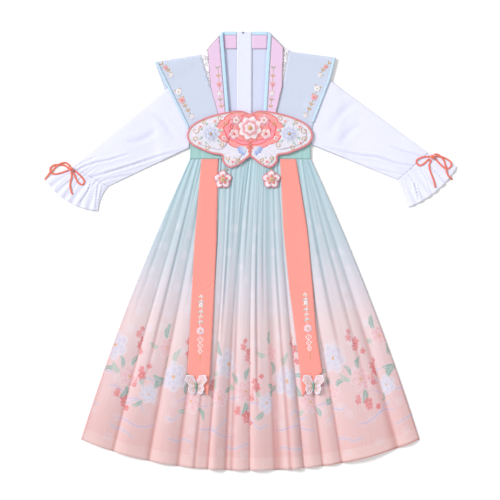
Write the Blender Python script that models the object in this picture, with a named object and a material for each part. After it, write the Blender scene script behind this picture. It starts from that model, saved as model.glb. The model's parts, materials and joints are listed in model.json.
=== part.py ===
"""A child's one-piece hanfu dress, laid flat, face up, with its sleeves spread.

Each cut piece of the dress is one object. +X runs to the right of the dress as seen from above,
+Y runs to the neck and +Z up from the surface that it lies on. Sizes below are in millimetres,
and MM turns them into metres where a mesh is made.
"""

import math
from collections import namedtuple

import bmesh
import bpy
from mathutils import Vector
from mathutils.bvhtree import BVHTree

MM = 0.001

# Cloth, and the levels that the panels lie at
CLOTH = 1.2
GAP = 0.3
LAYER = CLOTH + GAP
BAND_CLOTH = 2.0
WAIST_CLOTH = 2.4

# Driving sizes of the dress
BODY_AXIS_X = -2.4
NECK_Y = 525.6
WAIST_TOP_Y = 266.4
WAIST_BOTTOM_Y = 220.8
WAIST_HALF = 144.0
HEM_HALF = 405.5
HEM_LOW_Y = -525.6
HEM_RISE = 74.0
HEM_POWER = 2.3
SIDE_BOW = 51.0
SKIRT_TOP_Y = WAIST_BOTTOM_Y - GAP
BODICE_END_Y = WAIST_TOP_Y + GAP

# Trim sizes
PIPING_WIDTH = 8.4
BINDING_WIDTH = 6.0
PLACKET_LEFT_X = -34.2
PLACKET_RIGHT_X = 1.8
FACING_BOTTOM_Y = 484.8
HOOK_X = -19.8
HOOK_INSET = 0.6
HOOK_SIZE = (4.0, 3.0, 1.2)
FRONT_NECK_INSET = 2.0
UNDER_COLLAR = 6.0
LACE_TUCK = 1.0
LACE_STEP = 0.6
ORNAMENT_CENTRE = (-3.0, 266.0)
ORNAMENT_CLOTH = 2.0
PENDANT_RADIUS = 23.0
LINK_RADIUS = 1.2
CORD_RADIUS = 2.0
CORD_SIDE_ROOM = 1.05
KNOT_HALF = (6.0, 5.2, 3.2)
CORD_STEP = 9.0
CORD_CURVE_STEPS = 24

Point = namedtuple("Point", "x y")
Section = namedtuple("Section", "y left right")
Fold = namedtuple("Fold", "waist hem rise crest")
Wing = namedtuple("Wing", "root_y half tip_y")
Cuff = namedtuple("Cuff", "upper_start upper_end lower_start lower_end hem_sag upper_bow lower_bow")
Strand = namedtuple("Strand", "name points")

# Neckline edges. A side's inner edge is the open neck and its outer edge the shoulder side.
LEFT_COLLAR_INNER = (Point(-67.8, NECK_Y), Point(-53.4, 333.6), Point(-48.6, BODICE_END_Y))
LEFT_COLLAR_OUTER = (
    Point(-104.8, 484.3),
    Point(-98.0, 393.6),
    Point(-81.0, 332.6),
    Point(-71.4, BODICE_END_Y),
)
RIGHT_COLLAR_INNER = (Point(40.2, NECK_Y), Point(29.4, 333.6), Point(25.8, BODICE_END_Y))
RIGHT_COLLAR_OUTER = (
    Point(77.2, 488.4),
    Point(74.4, 393.6),
    Point(60.4, 334.3),
    Point(49.8, BODICE_END_Y),
)

# The flared shoulders of the sheer vest: the outer edge from the neck end to the waist
LEFT_WING_OUTER = (
    Point(-120.6, 470.4),
    Point(-229.8, 452.6),
    Point(-152.8, 294.2),
    Point(-146.4, BODICE_END_Y),
)
RIGHT_WING_OUTER = (
    Point(89.9, 478.3),
    Point(202.6, 463.4),
    Point(189.0, 411.0),
    Point(149.9, 308.6),
    Point(140.3, BODICE_END_Y),
)
LEFT_BACK_WING = (
    Point(-120.6, 470.4),
    Point(-231.4, 452.6),
    Point(-208.4, 388.8),
    Point(-160.0, 294.2),
    Point(-146.4, BODICE_END_Y),
)
LACE_BOTTOM_Y = 393.0

# Armholes and sleeves, from the shoulder to the cuff seam
LEFT_ARMHOLE = (Point(-123.0, 454.4), Point(-149.6, 247.0))
LEFT_CUFF_SEAM = (Point(-429.4, 201.6), Point(-343.3, 155.2))
RIGHT_ARMHOLE = (Point(93.0, 480.6), Point(146.0, 254.0))
RIGHT_CUFF_SEAM = (Point(424.6, 235.0), Point(351.2, 170.8))
SLEEVE_STEP_START = 0.32
SLEEVE_STEP_END = 0.42
SLEEVE_OPEN_END = 0.7
SLEEVE_SECTIONS = 11
SLEEVE_COLUMNS = 14
SLEEVE_BULGE = 3.0
SLEEVE_BULGE_LOSS = 0.5
GATHER_RIDGES = 5
GATHER_RISE = 1.6
GATHER_START = 0.5

LEFT_CUFF = Cuff(
    upper_start=Point(-429.8, 201.2),
    upper_end=Point(-493.8, 171.4),
    lower_start=Point(-343.6, 154.8),
    lower_end=Point(-367.1, 96.2),
    hem_sag=17.7,
    upper_bow=3.0,
    lower_bow=5.0,
)
RIGHT_CUFF = Cuff(
    upper_start=Point(424.9, 234.7),
    upper_end=Point(493.8, 202.1),
    lower_start=Point(351.5, 170.5),
    lower_end=Point(376.5, 104.8),
    hem_sag=13.0,
    upper_bow=3.0,
    lower_bow=0.5,
)
RUFFLE_WAVES = 7
RUFFLE_SECTIONS = 6
RUFFLE_STEPS = 4
RUFFLE_RISE = 4.5

# Pleats of the skirt. A row starts where two pleats meet, given as a share of the half width
# at the waist and at the hem, and tells of the pleat to its right: its rise and crest place.
FOLDS = (
    Fold(waist=-1.00, hem=-1.00, rise=6.0, crest=0.50),
    Fold(waist=-0.90, hem=-0.81, rise=9.0, crest=0.35),
    Fold(waist=-0.72, hem=-0.60, rise=8.0, crest=0.45),
    Fold(waist=-0.56, hem=-0.43, rise=6.0, crest=0.50),
    Fold(waist=-0.38, hem=-0.25, rise=12.0, crest=0.30),
    Fold(waist=-0.02, hem=-0.145, rise=8.0, crest=0.55),
    Fold(waist=0.10, hem=-0.003, rise=10.0, crest=0.30),
    Fold(waist=0.30, hem=0.15, rise=11.0, crest=0.70),
    Fold(waist=0.46, hem=0.318, rise=7.0, crest=0.45),
    Fold(waist=0.64, hem=0.43, rise=6.0, crest=0.50),
    Fold(waist=0.80, hem=0.54, rise=11.0, crest=0.35),
    Fold(waist=0.96, hem=0.87, rise=6.0, crest=0.50),
)
FOLD_STEPS = 6
WAIST_RISE_SHARE = 0.12
FOLD_SETTLE_POWER = 5
MITRE_LIMIT = 0.7
SKIRT_ROWS = (0.0, 0.03, 0.08, 0.14, 0.22, 0.31, 0.41, 0.52, 0.64, 0.77, 0.90, 1.0)
HEM_EASE_START = 0.9
SKIRT_OUTLINE_STEPS = 24
LINING_SIDE_SHARE = 0.955
LINING_SIDE_END = 0.86
LINING_SIDE_STEPS = 8
LINING_HEM = (
    Point(-231.0, -418.0),
    Point(-100.0, -426.0),
    Point(60.0, -426.0),
    Point(170.0, -411.0),
    Point(283.0, -386.0),
)

# Hanging bands, from the waistband to their slanted ends
LEFT_STREAMER = (
    Section(SKIRT_TOP_Y, -119.4, -78.6),
    Section(21.6, -136.0, -82.7),
    Section(-189.6, -146.8, -92.3),
    Section(-290.4, -153.0, -98.5),
)
LEFT_STREAMER_POINT = Point(-102.6, -345.6)
RIGHT_STREAMER = (
    Section(SKIRT_TOP_Y, 69.0, 107.4),
    Section(50.4, 77.0, 135.0),
    Section(-88.8, 91.0, 147.5),
    Section(-189.6, 104.8, 155.6),
    Section(-288.0, 117.0, 170.3),
)
RIGHT_STREAMER_POINT = Point(121.8, -348.0)
STREAMER_ROWS = 14
STREAMER_COLUMNS = 4
STREAMER_HEM = 1.0

# Half of the butterfly ornament's edge, from its middle top to its middle bottom
ORNAMENT_HALF_EDGE = (
    Point(0.0, 62.0),
    Point(22.0, 70.0),
    Point(60.0, 66.0),
    Point(104.0, 54.0),
    Point(138.0, 36.0),
    Point(151.0, 12.0),
    Point(142.0, -10.0),
    Point(116.0, -24.0),
    Point(90.0, -34.0),
    Point(68.0, -38.0),
    Point(66.0, -52.0),
    Point(50.0, -67.0),
    Point(30.0, -62.0),
    Point(13.0, -50.0),
    Point(0.0, -40.0),
)
UPPER_FIELD = (
    Point(40.0, 54.0),
    Point(74.0, 52.0),
    Point(112.0, 40.0),
    Point(136.0, 18.0),
    Point(128.0, -6.0),
    Point(100.0, -18.0),
    Point(66.0, -22.0),
    Point(46.0, 10.0),
)
LOWER_FIELD = (
    Point(18.0, -34.0),
    Point(36.0, -32.0),
    Point(54.0, -38.0),
    Point(55.0, -50.0),
    Point(46.0, -57.0),
    Point(32.0, -54.0),
)
CENTRE_BLOSSOM_Y = 26.0
CENTRE_BLOSSOM_RADIUS = 30.0
ORNAMENT_LOOK_STEPS = 24
PENDANT_LOOK_STEPS = 12

# Rings of a padded blossom, from its rim to its button: share of the radius, and height
BLOSSOM_RINGS = ((1.0, 1.2), (0.62, 2.4), (0.3, 2.0), (0.22, 3.4))
BLOSSOM_TOP = 3.6
BUTTON_SHARE = 0.3
PETAL_NOTCH = 0.68
PETAL_ROUNDNESS = 0.6
PETAL_STEPS = 8

LEFT_PENDANT = Point(-67.8, 171.0)
RIGHT_PENDANT = Point(48.4, 171.0)
LEFT_LINK = (Point(-56.3, 197.7), Point(-63.3, 194.2))
RIGHT_LINK = (Point(47.2, 198.3), Point(48.2, 194.5))

STREAMER_BUTTERFLY = (
    Wing(root_y=9.0, half=6.0, tip_y=24.0),
    Wing(root_y=7.0, half=22.0, tip_y=26.0),
    Wing(root_y=4.0, half=26.0, tip_y=14.0),
    Wing(root_y=0.0, half=17.0, tip_y=1.0),
    Wing(root_y=-3.0, half=19.0, tip_y=-9.0),
    Wing(root_y=-6.0, half=13.0, tip_y=-20.0),
    Wing(root_y=-9.0, half=4.0, tip_y=-19.0),
)
WING_SHARES = (-1.0, -0.5, 0.0, 0.5, 1.0)
BUTTERFLY_LIFT = 0.22
WING_CELL = 6.0
BUTTERFLY_BODY_HALF = (2.2, 13.0, 1.6)
BUTTERFLY_BODY_DROP = 2.0
LEFT_BUTTERFLY = Point(-131.4, -322.0)
RIGHT_BUTTERFLY = Point(148.2, -322.0)

LEFT_KNOT = Point(-431.9, 196.0)
RIGHT_KNOT = Point(434.0, 225.2)
LEFT_STRANDS = (
    Strand(
        "bow_loop_outer_left",
        (
            Point(-438.4, 198.4),
            Point(-448.0, 205.0),
            Point(-471.0, 206.5),
            Point(-482.0, 198.5),
            Point(-480.0, 188.0),
            Point(-469.0, 184.4),
            Point(-450.0, 189.0),
            Point(-438.4, 193.4),
        ),
    ),
    Strand(
        "bow_loop_inner_left",
        (
            Point(-425.2, 194.6),
            Point(-408.0, 179.0),
            Point(-400.0, 167.0),
            Point(-405.0, 159.0),
            Point(-416.0, 166.0),
            Point(-427.0, 190.6),
        ),
    ),
    Strand(
        "bow_tail_outer_left",
        (
            Point(-433.8, 202.4),
            Point(-446.0, 212.0),
            Point(-464.0, 206.0),
            Point(-474.0, 196.0),
            Point(-484.0, 186.0),
            Point(-495.0, 171.2),
        ),
    ),
    Strand(
        "bow_tail_inner_left",
        (
            Point(-432.0, 189.6),
            Point(-430.0, 180.0),
            Point(-434.0, 157.0),
            Point(-428.6, 135.6),
        ),
    ),
)
RIGHT_STRANDS = (
    Strand(
        "bow_loop_outer_right",
        (
            Point(440.6, 227.0),
            Point(460.0, 225.0),
            Point(477.0, 215.0),
            Point(479.0, 204.0),
            Point(470.0, 197.6),
            Point(458.0, 203.0),
            Point(440.0, 221.8),
        ),
    ),
    Strand(
        "bow_loop_inner_right",
        (
            Point(427.4, 226.4),
            Point(412.0, 225.0),
            Point(398.0, 219.0),
            Point(397.0, 210.0),
            Point(408.0, 205.6),
            Point(427.6, 221.4),
        ),
    ),
    Strand(
        "bow_tail_outer_right",
        (
            Point(437.2, 231.2),
            Point(450.0, 230.0),
            Point(462.0, 216.0),
            Point(466.0, 200.0),
            Point(471.0, 182.0),
            Point(482.6, 171.6),
        ),
    ),
    Strand(
        "bow_tail_inner_right",
        (
            Point(431.0, 219.0),
            Point(426.6, 203.0),
            Point(431.0, 186.0),
            Point(438.0, 168.0),
            Point(441.0, 152.0),
        ),
    ),
)

# Plain colours, roughness and metallic value of each material
MATERIALS = {
    "blouse_voile": ((0.80, 0.81, 0.96), 0.80, 0.0),
    "vest_organza": ((0.65, 0.73, 0.88), 0.55, 0.0),
    "binding_satin": ((0.55, 0.76, 0.91), 0.45, 0.0),
    "collar_satin": ((0.88, 0.62, 0.87), 0.45, 0.0),
    "lace": ((0.90, 0.90, 0.92), 0.80, 0.0),
    "waistband_satin": ((0.38, 0.61, 0.58), 0.50, 0.0),
    "skirt_chiffon": ((0.86, 0.66, 0.60), 0.65, 0.0),
    "skirt_lining": ((0.85, 0.72, 0.69), 0.70, 0.0),
    "streamer_satin": ((0.94, 0.31, 0.25), 0.50, 0.0),
    "ornament_embroidery": ((0.87, 0.27, 0.34), 0.60, 0.0),
    "ornament_fields": ((0.84, 0.82, 0.93), 0.60, 0.0),
    "blossom_satin": ((0.92, 0.78, 0.80), 0.50, 0.0),
    "gold_thread": ((0.72, 0.47, 0.20), 0.35, 0.7),
    "cord": ((0.89, 0.15, 0.08), 0.55, 0.0),
    "hook_metal": ((0.25, 0.25, 0.27), 0.35, 0.9),
}


class Stack:
    """The tops of the pieces laid so far, read by looking straight down."""

    LOOK_FROM = 0.2

    def __init__(self):
        self.trees = []

    def lay(self, obj):
        depsgraph = bpy.context.evaluated_depsgraph_get()
        depsgraph.update()
        mesh = bpy.data.meshes.new_from_object(obj.evaluated_get(depsgraph))
        points = [obj.matrix_world @ vertex.co for vertex in mesh.vertices]
        polygons = [polygon.vertices[:] for polygon in mesh.polygons]
        self.trees.append(BVHTree.FromPolygons(points, polygons))
        bpy.data.meshes.remove(mesh)

    def top(self, x, y):
        """Height in mm of the highest piece at one place, or 0 on the bare surface."""
        start = Vector((x * MM, y * MM, self.LOOK_FROM))
        highest = 0.0
        for tree in self.trees:
            place, _normal, _index, _distance = tree.ray_cast(start, Vector((0.0, 0.0, -1.0)))
            if place is not None:
                highest = max(highest, place.z / MM)
        return highest

    def top_in_box(self, x, y, half_x, half_y, steps=4):
        """Highest top inside a box centred on one place."""
        highest = 0.0
        for i in range(-steps, steps + 1):
            for j in range(-steps, steps + 1):
                highest = max(highest, self.top(x + half_x * i / steps, y + half_y * j / steps))
        return highest


def clear_scene():
    for obj in list(bpy.data.objects):
        bpy.data.objects.remove(obj, do_unlink=True)


def material(slot):
    """The Principled material of one slot, made on first use."""
    found = bpy.data.materials.get(slot)
    if found:
        return found
    colour, roughness, metallic = MATERIALS[slot]
    made = bpy.data.materials.new(slot)
    made.use_nodes = True
    shader = made.node_tree.nodes["Principled BSDF"]
    shader.inputs["Base Color"].default_value = (*colour, 1.0)
    shader.inputs["Roughness"].default_value = roughness
    shader.inputs["Metallic"].default_value = metallic
    made.diffuse_color = (*colour, 1.0)
    return made


def add_object(name, points, faces, slot):
    """One object from points in mm, its faces turned outward."""
    mesh = bpy.data.meshes.new(name)
    mesh.from_pydata([Vector(point) * MM for point in points], [], faces)
    shape = bmesh.new()
    shape.from_mesh(mesh)
    bmesh.ops.recalc_face_normals(shape, faces=shape.faces)
    shape.to_mesh(mesh)
    shape.free()
    mesh.shade_smooth()
    mesh.set_sharp_from_angle(angle=math.radians(40.0))
    mesh.materials.append(material(slot))
    obj = bpy.data.objects.new(name, mesh)
    bpy.context.scene.collection.objects.link(obj)
    return obj


def slab(name, outline, bottom, thickness, slot):
    """Flat cloth of one thickness inside an outline."""
    count = len(outline)
    points = [(p[0], p[1], bottom) for p in outline]
    points += [(p[0], p[1], bottom + thickness) for p in outline]
    faces = [tuple(range(count)), tuple(range(count, 2 * count))]
    for i in range(count):
        j = (i + 1) % count
        faces.append((i, j, count + j, count + i))
    return add_object(name, points, faces, slot)


def panel(name, under, over, slot):
    """A wall between two grids of points, the lower and the upper face of the cloth."""
    rows = len(under)
    columns = len(under[0])
    points = [point for row in under for point in row]
    points += [point for row in over for point in row]
    shift = rows * columns

    def at(row, column, face):
        return face * shift + row * columns + column

    faces = []
    for face in (0, 1):
        for row in range(rows - 1):
            for column in range(columns - 1):
                corners = (
                    at(row, column, face),
                    at(row, column + 1, face),
                    at(row + 1, column + 1, face),
                    at(row + 1, column, face),
                )
                faces.append(corners[:3])
                faces.append((corners[0], corners[2], corners[3]))
    edge = [(0, column) for column in range(columns)]
    edge += [(row, columns - 1) for row in range(1, rows)]
    edge += [(rows - 1, column) for column in range(columns - 2, -1, -1)]
    edge += [(row, 0) for row in range(rows - 2, 0, -1)]
    for first, second in zip(edge, edge[1:] + edge[:1]):
        faces.append((at(*first, 0), at(*second, 0), at(*second, 1), at(*first, 1)))
    return add_object(name, points, faces, slot)


def raised(grid, thickness):
    """The same grid, moved straight up by one thickness."""
    return [[(x, y, z + thickness) for x, y, z in row] for row in grid]


def loft_loops(name, outer, inner, slot):
    """A tube wall from its outer and inner loops, section by section, open at both ends."""
    sections = len(outer)
    count = len(outer[0])
    points = [point for loop in outer for point in loop]
    points += [point for loop in inner for point in loop]
    shift = sections * count

    def at(section, index, face):
        return face * shift + section * count + index % count

    faces = []
    for face in (0, 1):
        for section in range(sections - 1):
            for i in range(count):
                start = at(section, i, face)
                across = at(section + 1, i + 1, face)
                faces.append((start, at(section, i + 1, face), across))
                faces.append((start, across, at(section + 1, i, face)))
    for section in (0, sections - 1):
        for i in range(count):
            j = i + 1
            faces.append((at(section, i, 0), at(section, j, 0), at(section, j, 1), at(section, i, 1)))
    return add_object(name, points, faces, slot)


def flat_tube(name, sections, slot):
    """A tube of cloth pressed flat. A section is its base height and its points across,
    each with the room that the front wall leaves above the back wall there."""
    outer_loops = []
    inner_loops = []
    for base, across in sections:
        first = Vector(across[0][:2])
        last = Vector(across[-1][:2])
        inward = (last - first).normalized() * CLOTH
        middle = base + CLOTH + GAP / 2
        room_over = base + CLOTH + GAP
        front = [(x, y, room_over + CLOTH + lift) for x, y, lift in across]
        back = [(x, y, base) for x, y, lift in reversed(across)]
        last_edge = last + inward / 2
        first_edge = first - inward / 2
        outer_loops.append(front + [(*last_edge, middle)] + back + [(*first_edge, middle)])
        inset = [(x, y) for x, y, lift in across]
        inset[0] = tuple(first + inward)
        inset[-1] = tuple(last - inward)
        front = [(*place, room_over + point[2]) for place, point in zip(inset, across)]
        back = [(*place, base + CLOTH) for place in reversed(inset)]
        inner_loops.append(front + [(*inset[-1], middle)] + back + [(*inset[0], middle)])
    return loft_loops(name, outer_loops, inner_loops, slot)


def mix(start, end, share):
    return start + (end - start) * share


def mix_points(start, end, share):
    return Point(mix(start.x, end.x, share), mix(start.y, end.y, share))


def ease(value, start, end):
    """0 before start, 1 past end and a smooth step between."""
    share = min(max((value - start) / (end - start), 0.0), 1.0)
    return share * share * (3.0 - 2.0 * share)


def smooth_curve(points, steps, closed=False):
    """Points on a Catmull-Rom curve through a few chosen ones."""
    count = len(points)
    spans = count if closed else count - 1

    def chosen(index):
        if closed:
            return Vector(points[index % count])
        return Vector(points[min(max(index, 0), count - 1)])

    curve = []
    for span in range(spans):
        before, start, end, after = (chosen(span + k) for k in (-1, 0, 1, 2))
        for step in range(steps):
            t = step / steps
            place = start * 2.0 + (end - before) * t
            place += (before * 2.0 - start * 5.0 + end * 4.0 - after) * t * t
            place += (start * 3.0 - before - end * 3.0 + after) * t ** 3
            curve.append(place * 0.5)
    if not closed:
        curve.append(chosen(count - 1))
    return curve


def edge_x(edge, y):
    """X of an edge given by points from top to bottom, at one height."""
    for upper, lower in zip(edge, edge[1:]):
        if y >= lower.y:
            return mix(upper.x, lower.x, (upper.y - y) / (upper.y - lower.y))
    return edge[-1].x


def line_y(start, end, x):
    """Y of the straight line through two points, at one X."""
    return mix(start.y, end.y, (x - start.x) / (end.x - start.x))


def sideways(edge, distance):
    return [Point(point.x + distance, point.y) for point in edge]


def level(number):
    """Underside of the cloth at one level above the surface."""
    return number * LAYER


def build_vest_back():
    """The sheer back of the vest, neck to waist, with its flared shoulders."""
    left = [LEFT_COLLAR_INNER[0], LEFT_COLLAR_OUTER[0], *LEFT_BACK_WING]
    right = [RIGHT_COLLAR_INNER[0], RIGHT_COLLAR_OUTER[0], *RIGHT_WING_OUTER]
    return slab("vest_back", left + right[::-1], level(0), CLOTH, "vest_organza")


def armhole_foot(armhole):
    """Where a side seam meets the waistband, below its armhole's top."""
    return Point(edge_x(armhole, BODICE_END_Y), BODICE_END_Y)


def build_blouse_back():
    """The lined back of the blouse, inside the neck, between the armholes."""
    left = [LEFT_COLLAR_INNER[0], LEFT_COLLAR_OUTER[0], LEFT_ARMHOLE[0], armhole_foot(LEFT_ARMHOLE)]
    right = [RIGHT_COLLAR_INNER[0], RIGHT_COLLAR_OUTER[0], RIGHT_ARMHOLE[0], armhole_foot(RIGHT_ARMHOLE)]
    return slab("blouse_back", left + right[::-1], level(1), CLOTH, "blouse_voile")


def build_neck_inside():
    """The back collar's facing and piping, parted by the placket over the centre fastening."""
    made = []
    piping_bottom = NECK_Y - PIPING_WIDTH
    inner_edges = {"left": LEFT_COLLAR_INNER, "right": RIGHT_COLLAR_INNER}
    middles = {"left": PLACKET_LEFT_X - GAP, "right": PLACKET_RIGHT_X + GAP}
    for side, edge in inner_edges.items():
        middle = middles[side]
        for name, top, bottom, slot in (
            ("collar_back_piping", NECK_Y, piping_bottom + GAP, "binding_satin"),
            ("collar_back", piping_bottom, FACING_BOTTOM_Y, "collar_satin"),
        ):
            outline = (
                (edge_x(edge, top), top),
                (middle, top),
                (middle, bottom),
                (edge_x(edge, bottom), bottom),
            )
            made.append(slab(f"{name}_{side}", outline, level(2), CLOTH, slot))
    placket = (
        (PLACKET_LEFT_X, NECK_Y),
        (PLACKET_RIGHT_X, NECK_Y),
        (PLACKET_RIGHT_X, BODICE_END_Y),
        (PLACKET_LEFT_X, BODICE_END_Y),
    )
    made.append(slab("back_placket", placket, level(2), CLOTH, "blouse_voile"))
    length, width, height = HOOK_SIZE
    left = HOOK_X - length / 2
    top = NECK_Y - HOOK_INSET
    hook = ((left, top), (left + length, top), (left + length, top - width), (left, top - width))
    made.append(slab("neck_hook", hook, level(3), height, "hook_metal"))
    return made


def build_blouse_fronts():
    """The blouse fronts, from the neck edge to the armhole."""
    made = []
    for side, sign, inner, outer, armhole in (
        ("left", -1, LEFT_COLLAR_INNER, LEFT_COLLAR_OUTER, LEFT_ARMHOLE),
        ("right", 1, RIGHT_COLLAR_INNER, RIGHT_COLLAR_OUTER, RIGHT_ARMHOLE),
    ):
        neck = sideways(inner, sign * FRONT_NECK_INSET)
        outline = [*neck, armhole_foot(armhole), armhole[0], outer[0]]
        made.append(slab(f"blouse_front_{side}", outline, level(2), CLOTH, "blouse_voile"))
    return made


def sleeve_lift(along, across):
    """Room under a sleeve's front: a soft bulge, with the gathers' ridges near the cuff."""
    open_part = ease(along, SLEEVE_STEP_END, SLEEVE_OPEN_END)
    bulge = SLEEVE_BULGE * math.sin(math.pi * across) * (1.0 - SLEEVE_BULGE_LOSS * along)
    ridges = GATHER_RISE * math.sin(GATHER_RIDGES * math.pi * across) ** 2
    return open_part * (bulge + ridges * ease(along, GATHER_START, 1.0))


def build_sleeve(name, armhole, seam):
    """A long sleeve pressed flat, over the vest's back at the shoulder and on the surface past it."""
    sections = []
    outward = (Vector(seam[0]) - Vector(armhole[0])).normalized() * GAP
    for step in range(SLEEVE_SECTIONS):
        along = step / (SLEEVE_SECTIONS - 1)
        upper = mix_points(armhole[0], seam[0], along)
        lower = mix_points(armhole[1], seam[1], along)
        shift = outward * (1.0 - along)
        across = []
        for column in range(SLEEVE_COLUMNS + 1):
            share = column / SLEEVE_COLUMNS
            place = mix_points(upper, lower, share)
            across.append((place.x + shift.x, place.y, sleeve_lift(along, share)))
        base = level(1) * (1.0 - ease(along, SLEEVE_STEP_START, SLEEVE_STEP_END))
        sections.append((base, across))
    return flat_tube(name, sections, "blouse_voile")


def bowed(start, end, share, bow):
    """A point on a shallow bow between two points, its rise to the left of the way."""
    place = mix_points(start, end, share)
    way = Vector(end) - Vector(start)
    normal = Vector((-way.y, way.x)).normalized()
    rise = bow * 4.0 * share * (1.0 - share)
    return Point(place.x + normal.x * rise, place.y + normal.y * rise)


def ruffle_lift(along, across):
    """Room under a ruffle's front wall, a wave that grows to the hem."""
    gathers = GATHER_RISE * math.sin(GATHER_RIDGES * math.pi * across) ** 2 * (1.0 - along)
    waves = RUFFLE_RISE * math.sin(RUFFLE_WAVES * math.pi * across) ** 2 * along
    return gathers + waves


def build_cuff(name, cuff, sign):
    """The gathered ruffle past the drawstring, pressed flat."""
    columns = RUFFLE_WAVES * RUFFLE_STEPS
    sections = []
    for step in range(RUFFLE_SECTIONS):
        along = step / (RUFFLE_SECTIONS - 1)
        upper = bowed(cuff.upper_start, cuff.upper_end, along, sign * cuff.upper_bow)
        lower = bowed(cuff.lower_start, cuff.lower_end, along, sign * cuff.lower_bow)
        across = []
        for column in range(columns + 1):
            share = column / columns
            place = bowed(upper, lower, share, sign * cuff.hem_sag * along)
            across.append((place.x, place.y, ruffle_lift(along, share)))
        sections.append((0.0, across))
    return flat_tube(name, sections, "blouse_voile")


def build_vest_fronts():
    """The sheer vest fronts with flared shoulders, and their binding and lace."""
    made = []
    for side, sign, collar, wing in (
        ("left", -1, LEFT_COLLAR_OUTER, LEFT_WING_OUTER),
        ("right", 1, RIGHT_COLLAR_OUTER, RIGHT_WING_OUTER),
    ):
        under_collar = -sign * UNDER_COLLAR
        lace_foot = edge_x(collar, LACE_BOTTOM_Y)
        neck = [Point(lace_foot + sign * GAP, LACE_BOTTOM_Y)]
        neck.append(Point(lace_foot + under_collar, LACE_BOTTOM_Y - LACE_STEP))
        neck += sideways(collar[2:], under_collar)
        outline = [*neck, *reversed(wing)]
        made.append(slab(f"vest_front_{side}", outline, level(3), CLOTH, "vest_organza"))
        lace = (
            Point(collar[0].x + under_collar, collar[0].y + LACE_TUCK),
            collar[0],
            Point(wing[0].x - sign * GAP, wing[0].y + GAP),
            Point(lace_foot - sign * GAP, LACE_BOTTOM_Y),
            Point(lace_foot + under_collar, LACE_BOTTOM_Y),
        )
        made.append(slab(f"lace_{side}", lace, level(3), CLOTH, "lace"))
        bound = list(wing[1:-1])
        within = sideways(bound, -sign * BINDING_WIDTH)
        binding = bound + within[::-1]
        made.append(slab(f"vest_binding_{side}", binding, level(4), CLOTH, "binding_satin"))
    return made


def build_collar(side, sign, inner, outer):
    """One front collar band and the piping along its neck edge."""
    piped = sideways(inner, sign * PIPING_WIDTH)
    piped[0] = Point(piped[0].x, line_y(inner[0], outer[0], piped[0].x))
    seam = [Point(point.x - sign * GAP, point.y) for point in piped]
    piping = [*inner, *reversed(seam)]
    band = [*piped, *reversed(outer)]
    return [
        slab(f"collar_piping_{side}", piping, level(4), BAND_CLOTH, "binding_satin"),
        slab(f"collar_{side}", band, level(4), BAND_CLOTH, "collar_satin"),
    ]


def build_waistband():
    """The waistband's back and front, each of folded cloth."""
    left = BODY_AXIS_X - WAIST_HALF
    right = BODY_AXIS_X + WAIST_HALF
    outline = (
        (left, WAIST_TOP_Y),
        (right, WAIST_TOP_Y),
        (right, WAIST_BOTTOM_Y),
        (left, WAIST_BOTTOM_Y),
    )
    return [
        slab("waistband_back", outline, 0.0, WAIST_CLOTH, "waistband_satin"),
        slab("waistband_front", outline, WAIST_CLOTH + GAP, WAIST_CLOTH, "waistband_satin"),
    ]


def skirt_half(down):
    """Half width of the flat skirt, from 0 at the waist to 1 at the hem."""
    return mix(WAIST_HALF, HEM_HALF, down) + SIDE_BOW * down * (1.0 - down)


def skirt_point(share, down):
    """A place on the skirt from its share of the half width and its way down."""
    length = SKIRT_TOP_Y - HEM_LOW_Y - HEM_RISE * abs(share) ** HEM_POWER
    return Point(BODY_AXIS_X + share * skirt_half(down), SKIRT_TOP_Y - down * length)


def skirt_outline(steps):
    """The flat skirt's edge: top, right side, hem and left side."""
    side = [step / steps for step in range(steps + 1)]
    right = [skirt_point(1.0, down) for down in side]
    hem = [skirt_point(1.0 - 2.0 * share, 1.0) for share in side[1:-1]]
    left = [skirt_point(-1.0, down) for down in reversed(side)]
    return right + hem + left


def fold_columns():
    """The skirt's columns: waist share, hem share, rise and place within the pleat."""
    columns = []
    ends = FOLDS[1:] + (Fold(waist=1.0, hem=1.0, rise=0.0, crest=0.5),)
    for fold, after in zip(FOLDS, ends):
        power = math.log(0.5) / math.log(fold.crest)
        for step in range(FOLD_STEPS):
            share = step / FOLD_STEPS
            waist = mix(fold.waist, after.waist, share)
            hem = mix(fold.hem, after.hem, share)
            bump = math.sin(math.pi * share ** power)
            columns.append((waist, hem, fold.rise * bump))
    columns.append((1.0, 1.0, 0.0))
    return columns


def build_skirt_front():
    """The pleated front of the outer skirt, a wall that rises and falls across its pleats."""
    columns = fold_columns()
    under = []
    over = []
    for down in SKIRT_ROWS:
        settle = (1.0 - down) ** FOLD_SETTLE_POWER
        grow = mix(WAIST_RISE_SHARE, 1.0, ease(down, 0.0, 1.0))
        base = mix(level(2), level(1), ease(down, HEM_EASE_START, 1.0))
        row = []
        for waist, hem, rise in columns:
            place = skirt_point(mix(hem, waist, settle), down)
            row.append(Vector((place.x, place.y, base + rise * grow)))
        row[0].z = level(1)
        row[-1].z = level(1)
        under.append(row)
        over.append(row_above(row))
    return panel("skirt_front", under, over, "skirt_chiffon")


def row_above(row):
    """One row of points moved out by the cloth's thickness, square to the row."""
    above = [row[0] + Vector((0.0, 0.0, CLOTH))]
    for before, here, after in zip(row, row[1:], row[2:]):
        first = Vector((before.z - here.z, here.x - before.x)).normalized()
        second = Vector((here.z - after.z, after.x - here.x)).normalized()
        middle = (first + second).normalized()
        reach = CLOTH / max(middle.dot(first), MITRE_LIMIT)
        above.append(here + Vector((middle.x * reach, 0.0, middle.y * reach)))
    above.append(row[-1] + Vector((0.0, 0.0, CLOTH)))
    return above


def build_skirt_back():
    """The flat back of the outer skirt, which the dress lies on."""
    return slab("skirt_back", skirt_outline(SKIRT_OUTLINE_STEPS), level(0), CLOTH, "skirt_chiffon")


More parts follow.
